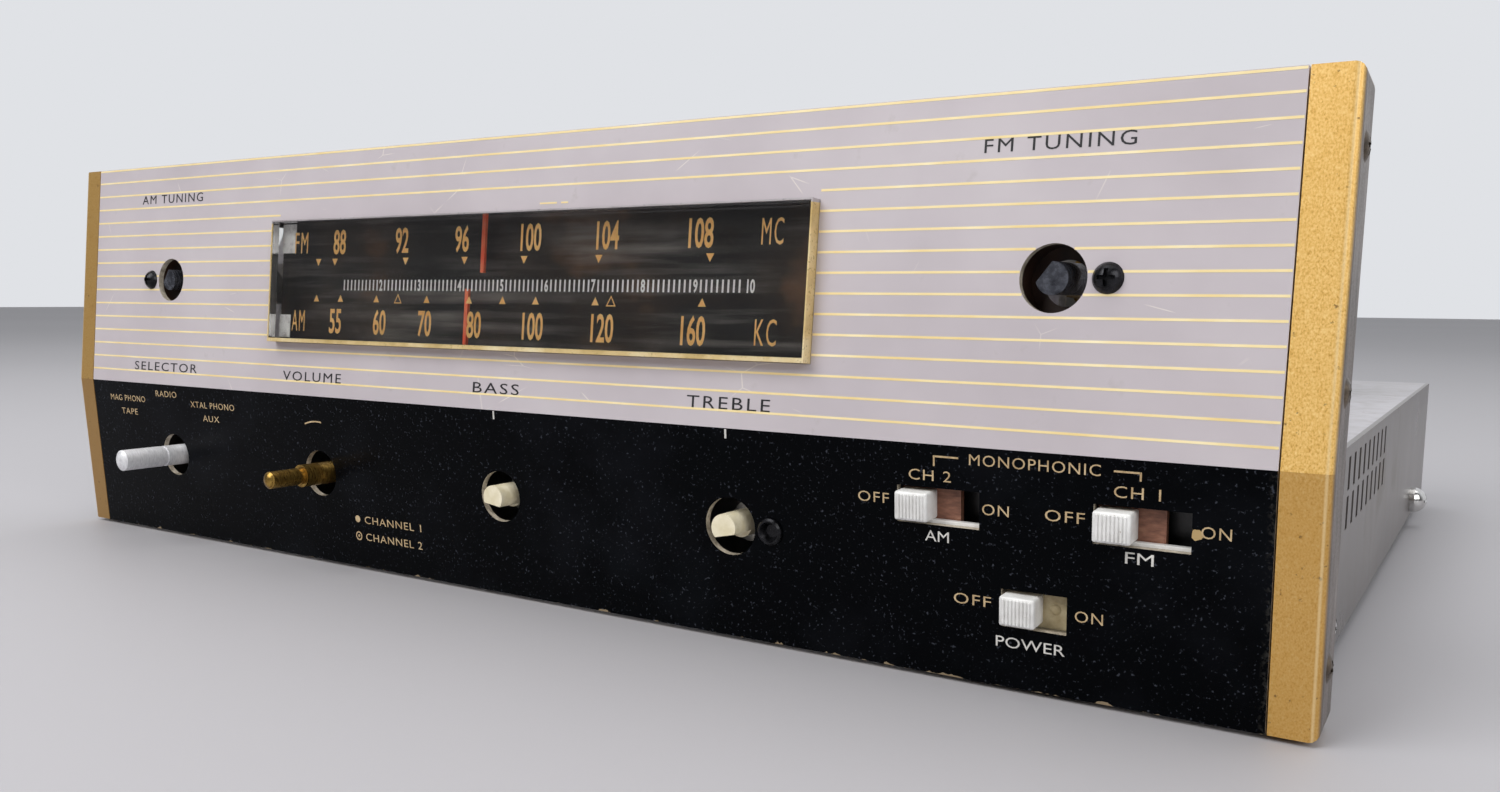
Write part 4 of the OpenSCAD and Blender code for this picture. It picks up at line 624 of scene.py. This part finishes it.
# Filled dot for the first channel, ring and point for the second
marks = {"x": -56.0, "first": -34.1, "second": -39.0, "dot": 1.0, "ring": 1.3, "ringWide": 0.4, "point": 0.4}
addRod(shape, onLower, (marks["x"], inkMiddle, marks["first"]), marks["dot"], inkThick)
ringPlace = onLower @ Matrix.Translation((marks["x"], inkLow, marks["second"]))
ringPlace = ringPlace @ Matrix.Rotation(math.pi / 2, 4, "X")
ring = bmesh.ops.create_circle(shape, cap_ends=True, segments=32, radius=marks["ring"], matrix=ringPlace)
disc = list({face for vert in ring["verts"] for face in vert.link_faces})
bmesh.ops.inset_region(shape, faces=disc, use_boundary=True, use_even_offset=True,
                       thickness=marks["ringWide"] * mm)
bmesh.ops.delete(shape, geom=disc, context="FACES")
addRod(shape, onLower, (marks["x"], inkMiddle, marks["second"]), marks["point"], inkThick)
# Short arc over the volume shaft
arc = {"x": -70.5, "s": -22.3, "radius": 14.8, "width": 0.4, "fromDeg": 82, "toDeg": 110, "steps": 10}
stepAngle = math.radians(arc["toDeg"] - arc["fromDeg"]) / arc["steps"]
half = arc["radius"] * stepAngle / 2 + 0.02
for i in range(arc["steps"]):
    angle = math.radians(arc["fromDeg"]) + stepAngle * (i + 0.5)
    turned = onLower @ Matrix.Translation((arc["x"], 0, arc["s"]))
    turned = turned @ Matrix.Rotation(math.pi / 2 - angle, 4, "Y")
    addBlock(shape, turned, (-half, inkLow, arc["radius"]), (half, inkHigh, arc["radius"] + arc["width"]))
makePiece("lowerLettering", shape, "tanInk")

whiteWords = [("AM", 118.1, 123.3, -18.8), ("FM", 158.4, 163.6, -18.5), ("POWER", 133.4, 147.4, -38.6)]
shape = bmesh.new()
for words, x0, x1, s in whiteWords:
    addWords(shape, words, onLower, (x0 + x1) / 2, s, height=2.2, wide=x1 - x0, bold=-0.002)
# Centre marks over the tone controls
toneMarks = {"x": (-0.7, 69.9), "half": 0.25, "low": -2.3, "high": -0.2}
for x in toneMarks["x"]:
    addBlock(shape, onLower, (x - toneMarks["half"], inkLow, toneMarks["low"]),
             (x + toneMarks["half"], inkHigh, toneMarks["high"]))
makePiece("whiteLettering", shape, "whiteInk")
print("panel lettering done")

# Dial figures printed on the back of the lens
dial = {"depth": 3.66, "shift": -0.75, "figure": 6.9, "narrow": 0.56, "bold": 0.018, "word": 5.9,
        "wordWide": 5.6, "fmS": 43.45, "amS": 21.4,
        "words": {"fmS": [("FM", -78.5), ("MC", 79.3)], "amS": [("AM", -78.6), ("KC", 78.9)]},
        "fm": [("88", -62.1), ("92", -37.0), ("96", -14.6), ("100", 9.2), ("104", 33.5), ("108", 60.4)],
        "am": [("55", -62.6), ("60", -44.5), ("70", -27.0), ("80", -9.0), ("100", 11.1), ("120", 33.2),
               ("160", 59.6)],
        "fmTriS": 38.2, "amTriS": 27.5, "tri": 1.3, "openTri": 1.75, "openTriWide": 0.28,
        "fmTriX": [-70.8, -63.8, -35.3, -13.4, 7.2, 31.1, 63.2],
        "amTriX": [-71.0, -60.8, -46.1, -26.6, -11.1, 0.6, 11.7, 30.7, 61.7], "openTriX": [-37.6, 35.5]}
shape = bmesh.new()
for row, s in (("fm", dial["fmS"]), ("am", dial["amS"])):
    for words, x in dial[row]:
        addWords(shape, words, onUpper, x + dial["shift"], s, dial["figure"], narrow=dial["narrow"],
                 lift=dial["depth"], bold=dial["bold"])
for row, rowWords in dial["words"].items():
    for words, x in rowWords:
        addWords(shape, words, onUpper, x + dial["shift"], dial[row], dial["word"], dial["wordWide"],
                 lift=dial["depth"], space=1.2, bold=-0.002)


# Flat three-cornered mark on the back of the lens, and its faces
def addMark(x, s, radius, turn=0.0):
    spot = onUpper @ Matrix.Translation((x + dial["shift"], dial["depth"], s))
    spot = spot @ Matrix.Rotation(math.pi / 2, 4, "X") @ Matrix.Rotation(turn, 4, "Z")
    made = bmesh.ops.create_circle(shape, cap_ends=True, segments=3, radius=radius, matrix=spot)["verts"]
    return list({face for vert in made for face in vert.link_faces})


for x in dial["fmTriX"]:
    addMark(x, dial["fmTriS"], dial["tri"], math.pi)
for x in dial["amTriX"]:
    addMark(x, dial["amTriS"], dial["tri"])
for x in dial["openTriX"]:
    whole = addMark(x, dial["amTriS"], dial["openTri"])
    bmesh.ops.inset_region(shape, faces=whole, use_boundary=True, use_even_offset=True,
                           thickness=dial["openTriWide"] * mm)
    bmesh.ops.delete(shape, geom=whole, context="FACES")
makePiece("dialFigures", shape, "dialGold")

# Logging scale: ten ticks to each figure, with the figure in place of the tenth
ticks = {"s": 31.5, "high": 2.9, "wide": 0.5, "thick": 0.04, "figure": 3.1, "narrow": 0.62, "bold": 0.03,
         "unit": 14.88, "fiveX": 0.1, "first": 10, "last": 100, "leftOut": 99}
shape = bmesh.new()
for k in range(ticks["first"], ticks["last"] + 1):
    x = ticks["fiveX"] + (k / 10 - 5) * ticks["unit"] + dial["shift"]
    if k % 10 == 0 and k > ticks["first"]:
        addWords(shape, str(k // 10), onUpper, x, ticks["s"], ticks["figure"], narrow=ticks["narrow"],
                 lift=dial["depth"], bold=ticks["bold"])
    elif k != ticks["leftOut"]:
        addBlock(shape, onUpper, (x - ticks["wide"] / 2, dial["depth"], ticks["s"] - ticks["high"] / 2),
                 (x + ticks["wide"] / 2, dial["depth"] + ticks["thick"], ticks["s"] + ticks["high"] / 2))
makePiece("dialTicks", shape, "dialWhite")
print("dial figures done")

# Painted reflections off the left end of the lens, as crinkled white scraps behind its two left corners:
# left, right, low and high end
lensGlints = {"places": [(-87.9, -81.9, 40.6, 48.9), (-87.9, -83.0, 16.4, 23.0)], "gap": 0.02, "thick": 0.28}
glintsFront = dial["depth"] + lensGlints["gap"]
shape = bmesh.new()
for x0, x1, s0, s1 in lensGlints["places"]:
    addBlock(shape, onUpper, (x0, glintsFront, s0), (x1, glintsFront + lensGlints["thick"], s1), rounding=0.12,
             segments=1)
makePiece("lensEndReflections", shape, "lensReflection")

# Dark sleeves behind the two tuning holes, open round the shafts: painted shade that keeps the holes dark
# inside
sleeve = {"holes": (-142, 142), "s": 33, "inner": 7.2, "outer": 8.0, "shaftHole": 4.6, "front": 1.75,
          "back": 9.4, "floor": 0.8}
inner, outer, front, back = sleeve["inner"], sleeve["outer"], sleeve["front"], sleeve["back"]
shaftHole, floorTop = sleeve["shaftHole"], sleeve["back"] - sleeve["floor"]
ringWall = [(inner, front), (outer, front), (outer, back), (shaftHole, back), (shaftHole, floorTop),
            (inner, floorTop), (inner, front)]
shape = bmesh.new()
for x in sleeve["holes"]:
    place = onUpper @ Matrix.Translation((x, 0, sleeve["s"])) @ Matrix.Rotation(-math.pi / 2, 4, "X")
    addSpun(shape, place, ringWall)
makePiece("tuningHoleShadeSleeves", shape, "darkPhenolic")

# Switch slots on the lower face: middle, height along the slope, and half their length
slots = {"am": (120.8, -12.7, 8.9), "fm": (161.2, -12.7, 8.9), "power": (141.0, -31.6, 6.6)}
# Ribbed knobs in place of the plain ones, at the left end of their slots
knob = {"width": 7.2, "height": 6.0, "proud": 2.8, "back": 3.2, "fromEnd": 4.0, "rounding": 0.5,
        "ribs": 8, "ribDepth": 0.32, "ribRoot": 0.6, "ribShare": 0.3, "ribRounding": 0.12,
        "sideMargin": 0.6, "endMargin": 0.45}
w, h, front = knob["width"] / 2, knob["height"] / 2, -knob["proud"]
pitch = 2 * (w - knob["sideMargin"]) / knob["ribs"]
for name, (slotX, s, slotHalf) in slots.items():
    x = slotX - slotHalf + knob["fromEnd"]
    shape = bmesh.new()
    addBlock(shape, onLower, (x - w, front + knob["ribDepth"], s - h), (x + w, knob["back"], s + h),
             knob["rounding"], 3)
    for i in range(knob["ribs"]):
        middle = x - w + knob["sideMargin"] + pitch * (i + 0.5)
        half = pitch * knob["ribShare"]
        addBlock(shape, onLower, (middle - half, front, s - h + knob["endMargin"]),
                 (middle + half, front + knob["ribRoot"], s + h - knob["endMargin"]), knob["ribRounding"], 1)
    piece = makePiece(name + "SwitchKnob", shape, "whitePlastic", name + "_switch")
    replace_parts(piece, name + "_switch_knob")
# Pale runners along the bottom of the two channel slots
runner = {"endGap": 0.1, "front": 1.65, "back": 3.0, "low": -4.4, "high": -3.12}
shape = bmesh.new()
for slotX, s, slotHalf in (slots["am"], slots["fm"]):
    half = slotHalf - runner["endGap"]
    addBlock(shape, onLower, (slotX - half, runner["front"], s + runner["low"]),
             (slotX + half, runner["back"], s + runner["high"]), rounding=0.1, segments=1)
makePiece("switchRunners", shape, "whitePlastic")
# Beige carrier board with a rivet beside the power knob
slotX, s, slotHalf = slots["power"]
x = slotX - slotHalf + knob["fromEnd"]
carrier = {"left": -6.6, "right": 8.6, "half": 4.2, "front": knob["back"], "back": 4.8, "rivetX": 6.0}
shape = bmesh.new()
addBlock(shape, onLower, (x + carrier["left"], carrier["front"], s - carrier["half"]),
         (x + carrier["right"], carrier["back"], s + carrier["half"]), rounding=0.15, segments=1)
makePiece("powerSwitchCarrier", shape, "beige", "power_switch")
rivetPlace = onLower @ Matrix.Translation((x + carrier["rivetX"], carrier["front"], s))
rivetHead = [(0, 0.32), (0.5, 0.3), (0.95, 0.16), (1.1, 0.0), (1.1, -0.2), (0, -0.2)]
shape = bmesh.new()
addSpun(shape, rivetPlace @ Matrix.Rotation(math.pi / 2, 4, "X"), rivetHead, 24)
makePiece("powerSwitchRivet", shape, "beige", "power_switch")
print("switch knobs done")

# Valves: a hollow bulb, its dark plates, mica discs and silvered top
outputPlaces = [onDeck(-0.16 + 0.1 * i, 0.6) for i in range(4)]
smallPlaces = [onDeck(-0.05 + 0.12 * i, 0.42) for i in range(3)]
smallPlaces += [(0.31 * chassisWide, panel["bendY"] + 96.3), onDeck(0.31, 0.42), onDeck(-0.4, 0.285)]
valves = {"seat": deckZ + 5.0, "wall": 0.9, "tip": 3.4, "flashGap": 1.1, "platesLow": 8.5, "platesTop": 2.0,
          "plate": 0.42, "finAt": 0.6, "fin": (1.6, 0.5), "rodAt": 0.55, "rod": 0.5, "rodOver": 5,
          "micaGap": 0.6, "micaRim": 1.4, "micaThick": 0.5,
          "output": {"radius": 11.0, "height": 62.0, "places": outputPlaces},
          "small": {"radius": 10.0, "height": 46.0, "places": smallPlaces}}


# Points of a quarter round of the given radius, from its side up to the given angles
def shoulderRound(radius, base, degrees):
    angles = [math.radians(t) for t in degrees]
    return [(radius * math.cos(t), base + radius * math.sin(t)) for t in angles]


for kind in ("output", "small"):
    r, h = valves[kind]["radius"], valves[kind]["height"] - 1.0
    glass, plates, micas, silvered = bmesh.new(), bmesh.new(), bmesh.new(), bmesh.new()
    shoulder, bore = h - valves["tip"] - r, r - valves["wall"]
    outer = [(0, 0.3), (r - 2.4, 0.3), (r - 0.8, 0.9), (r, 2.6), (r, shoulder)]
    outer += shoulderRound(r, shoulder, (15, 30, 45, 60, 72, 80))
    outer += [(1.4, shoulder + r + 0.2), (1.0, shoulder + r + 1.8), (0.5, h - 0.6), (0, h - 0.3)]
    inner = [(0, 3.2), (r - 2.4, 3.2), (bore, 4.6), (bore, shoulder)]
    inner += shoulderRound(bore, shoulder, (15, 30, 45, 60, 75, 90))
    flash = shoulderRound(r - valves["flashGap"], shoulder, (48, 60, 72, 82, 90))
    low, high = valves["platesLow"], shoulder - valves["platesTop"]
    middle, tall = (low + high) / 2, high - low
    finWide, finThick = valves["fin"]
    for x, y in valves[kind]["places"]:
        place = onTable @ Matrix.Translation((x, y, valves["seat"]))
        addSpun(glass, place, outer, 32)
        before = set(glass.faces)
        addSpun(glass, place, inner, 32)
        bmesh.ops.reverse_faces(glass, faces=[f for f in glass.faces if f not in before])
        addRod(plates, place, (0, 0, middle), r * valves["plate"], tall, "Z", 24)
        for side in (-1, 1):
            fin, rodY = side * r * valves["finAt"], side * r * valves["rodAt"]
            addBlock(plates, place, (fin - finWide, -finThick, low), (fin + finWide, finThick, high),
                     rounding=0.15, segments=1)
            addRod(plates, place, (0, rodY, middle), valves["rod"], tall + valves["rodOver"], "Z", 10)
        for z in (low - valves["micaGap"], high + valves["micaGap"]):
            addRod(micas, place, (0, 0, z), r - valves["micaRim"], valves["micaThick"], "Z", 28)
        addSpun(silvered, place, flash, 28)
    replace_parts(makePiece(kind + "ValveBulbs", glass, "valveGlass"), kind + "_valves")
    makePiece(kind + "ValvePlates", plates, "anode")
    makePiece(kind + "ValveMicas", micas, "mica")
    makePiece(kind + "ValveSilvering", silvered, "getter")
print("valves done")

# Filter cans with a rolled rim, a bead and a sealed top
cans = {"radius": 16.0, "height": 60.0, "flange": 19.0,
        "places": [fromRear(-0.25, 61.4), fromRear(-0.37, 61.4)]}
r, h, flange = cans["radius"], cans["height"], cans["flange"]
canWall = [(0, 0.0), (flange, 0.0), (flange, 1.6), (r, 2.0)]
canWall += [(r, 6.0), (r - 0.7, 6.8), (r - 0.7, 7.6), (r, 8.4)]
canWall += [(r, h - 1.6), (r - 0.5, h - 0.5), (r - 1.4, h), (r - 2.6, h - 0.4), (r - 3.0, h - 1.6),
            (0, h - 1.6)]
canSeal = [(0, h - 1.5), (r - 3.2, h - 1.5), (r - 3.2, h - 1.0), (3.0, h - 1.0), (2.4, h - 0.4),
           (0, h - 0.3)]
shape, seals = bmesh.new(), bmesh.new()
for x, y in cans["places"]:
    place = onTable @ Matrix.Translation((x, y, deckZ))
    addSpun(shape, place, canWall, 48)
    addSpun(seals, place, canSeal, 40)
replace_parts(makePiece("filterCans", shape, "drawnCan"), "filter_capacitors")
makePiece("filterCanSeals", seals, "blackPlastic")

# Output transformers: coils wrapped in varnished paper, and bolts through the corners of the stacks
output = {"coil": (27.0, 40.0, 24.64), "coilGaps": (0.1, 0.0, 0.1), "coilRounding": 2.6,
          "core": (50.0, 20.0, 44.0), "bolt": 1.6, "boltOver": 1.5, "nut": 3.2, "nutHigh": 1.8, "inset": 4.7,
          "places": [fromRear(0.06, 44.4), fromRear(-0.11, 44.4)]}
w, t, h = [size / 2 - gap for size, gap in zip(output["coil"], output["coilGaps"])]
coreW, coreT, coreH = output["core"][0] / 2, output["core"][1] / 2, output["core"][2]
boltLong, nutOut = 2 * (coreT + output["boltOver"]), coreT + output["nutHigh"] / 2
shape, bolts = bmesh.new(), bmesh.new()
for x, y in output["places"]:
    z = deckZ + coreH / 2
    addBlock(shape, onTable, (x - w, y - t, z - h), (x + w, y + t, z + h), output["coilRounding"], 4)
    for side in (-1, 1):
        for level in (output["inset"], coreH - output["inset"]):
            boltX, boltZ = x + side * (coreW - output["inset"]), deckZ + level
            addRod(bolts, onTable, (boltX, y, boltZ), output["bolt"], boltLong, "Y", 16)
            for face in (-1, 1):
                spot = (boltX, y + face * nutOut, boltZ)
                addRod(bolts, onTable, spot, output["nut"], output["nutHigh"], "Y", 6)
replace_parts(makePiece("outputCoils", shape, "paper"), "output_transformer_coils")
makePiece("outputClampBolts", bolts, "zinc")

# Pressed end covers of the power transformer, with bolts through the corners of its stack
mainsX, mainsY = fromRear(0.3, 70.4)
mains = {"width": 76.0, "stack": 32.0, "height": 62.0, "cover": 22.0, "taper": (0.87, 1, 0.84),
         "rounding": 6.0, "rim": 1.6, "rimRounding": 0.5, "inset": 4.6, "nut": 3.6, "nutHigh": 2.8,
         "thread": 1.9, "threadLong": 2.0, "threadAt": 3.6}
w, h, cover = mains["width"] / 2, mains["height"], mains["cover"]
middle = Matrix.Translation((-mainsX, 0, -deckZ - h / 2))
shape, bolts = bmesh.new(), bmesh.new()
for side in (-1, 1):
    y0 = mainsY + side * mains["stack"] / 2
    box = Matrix.Translation((mainsX, y0 + side * cover / 2, deckZ + h / 2))
    box = box @ Matrix.Diagonal((2 * w, cover, h, 1))
    made = bmesh.ops.create_cube(shape, size=1.0, matrix=box)["verts"]
    ends = [v for v in made if (v.co.y - y0) * side > cover / 2]
    bmesh.ops.scale(shape, vec=mains["taper"], verts=ends, space=middle)
    edges = [e for e in {e for v in made for e in v.link_edges} if any(v in ends for v in e.verts)]
    bmesh.ops.bevel(shape, geom=edges, offset=mains["rounding"], segments=6, affect="EDGES", profile=0.5,
                    material=-1)
    rimY = sorted((y0, y0 + side * mains["rim"]))
    rimLow, rimHigh = (mainsX - w, rimY[0], deckZ), (mainsX + w, rimY[1], deckZ + h)
    addBlock(shape, Matrix.Identity(4), rimLow, rimHigh, mains["rimRounding"], 2)
    nutY, threadY = y0 + side * mains["nutHigh"] / 2, y0 + side * mains["threadAt"]
    for sx in (-1, 1):
        for sz in (-1, 1):
            boltX = mainsX + sx * (w - mains["inset"])
            boltZ = deckZ + h / 2 + sz * (h / 2 - mains["inset"])
            addRod(bolts, onTable, (boltX, nutY, boltZ), mains["nut"], mains["nutHigh"], "Y", 6)
            addRod(bolts, onTable, (boltX, threadY, boltZ), mains["thread"], mains["threadLong"], "Y", 14)
bmesh.ops.transform(shape, matrix=onTable, verts=shape.verts[:])
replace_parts(makePiece("powerTransformerShells", shape, "enamel"), "power_transformer_covers")
makePiece("powerTransformerBolts", bolts, "dullScrew")
print("transformers done")

# Names of the sockets on the rear wall: words, middle and height
rearWords = [("PHONO", -150, 43.0), ("TAPE", -130, 43.0), ("AUX", -110, 43.0), ("OUT", -90, 43.0),
             ("AERIAL", -42, 40.8), ("LOUDSPEAKERS", 40, 40.8), ("AC OUT", 106, 39.6), ("FUSE", 142, 37.0)]
onRear = onTable @ Matrix.Translation((0, rearY, 0))
shape = bmesh.new()
for words, x, z in rearWords:
    addWords(shape, words, onRear, x, z, height=1.9, narrow=1.1, lift=0.03, back=True)
makePiece("rearLettering", shape, "blackInk")

# Tuning slugs in the tops of the tuned-circuit cans
slugs = {"radius": 2.9, "long": 2.4, "level": 47.4,
         "places": [(-0.4, 0.425), (-0.4, 0.565), (-0.3, 0.425), (-0.3, 0.565), (-0.2, 0.425)]}
shape = bmesh.new()
for across, along in slugs["places"]:
    x, y = onDeck(across, along)
    addRod(shape, onTable, (x, y, deckZ + slugs["level"]), slugs["radius"], slugs["long"], "Z", 24)
makePiece("tuningSlugs", shape, "ferrite")

# Stage: pale painted table top, even and matt
tableHalf = 6.0   # metres
floorShape = bmesh.new()
bmesh.ops.create_grid(floorShape, x_segments=1, y_segments=1, size=tableHalf)
floorMesh = bpy.data.meshes.new("tableTop")
floorShape.to_mesh(floorMesh)
floorShape.free()
floorMaterial, tree, shader, point = newMaterial("tableTopPalePaint")
cloud = addNode(tree, "TexNoise", grain(point, 900.0, 1.0))
cloud = addNode(tree, "ValToRGB", {0: cloud}, stops=[(0.3, "#AAA8AB"), (0.7, "#AEACAF")])
setInputs(tree, shader, {"Base Color": cloud, "Roughness": 0.55})
floorMesh.materials.append(floorMaterial)
floor = bpy.data.objects.new("tableTop", floorMesh)
scene.collection.objects.link(floor)

# Pale backdrop behind the object, dimmer room behind the camera
world = bpy.data.worlds.new("studio")
scene.world = world
world.use_nodes = True
tree = world.node_tree
toward = addNode(tree, "SeparateXYZ", {0: addNode(tree, "TexCoord", out="Generated")}, 1)
toward = addNode(tree, "MapRange", {0: toward, 1: -0.2, 2: 0.35})
backdrop = addNode(tree, "ValToRGB", {0: toward}, stops=[(0.0, "#5E5E60"), (1.0, "#E0E2E6")])
setInputs(tree, tree.nodes["Background"], {0: backdrop})

# Soft lamps: place, watts and size in metres, all aimed at the middle of the panel
lights = {"key": ((-0.55, -1.1, 1.15), 20.0, 1.1), "fill": ((1.15, -0.85, 0.85), 9.0, 0.9),
          "top": ((0.1, 0.1, 1.5), 10.0, 1.4)}
aim = Vector((0, -0.1, 0.06))
for name, (spot, power, size) in lights.items():
    light = bpy.data.lights.new(name, "AREA")
    light.energy = power
    light.size = size
    lamp = bpy.data.objects.new(name, light)
    lamp.location = spot
    lamp.rotation_euler = (aim - Vector(spot)).to_track_quat("-Z", "Y").to_euler()
    scene.collection.objects.link(lamp)

# Camera of the picture: place in millimetres, turn to the left, tilt and roll in degrees
camera = {"place": (218.508, -370.792, 77.837), "turn": 32.637, "tilt": -6.994, "roll": 0.422,
          "lens": 29.077, "sensor": 36.0, "shift": 49 / 1500, "near": 0.01}
lensData = bpy.data.cameras.new("camera")
lensData.lens = camera["lens"]
lensData.sensor_width = camera["sensor"]
lensData.shift_y = camera["shift"]
lensData.clip_start = camera["near"]
eye = bpy.data.objects.new("camera", lensData)
turned = Matrix.Rotation(math.radians(camera["turn"]), 4, "Z")
tilted = Matrix.Rotation(math.radians(90 + camera["tilt"]), 4, "X")
rolled = Matrix.Rotation(math.radians(camera["roll"]), 4, "Z")
eye.matrix_world = Matrix.Translation(Vector(camera["place"]) * mm) @ turned @ tilted @ rolled
scene.collection.objects.link(eye)
scene.camera = eye
scene.view_settings.view_transform = "Standard"
print("stage set")
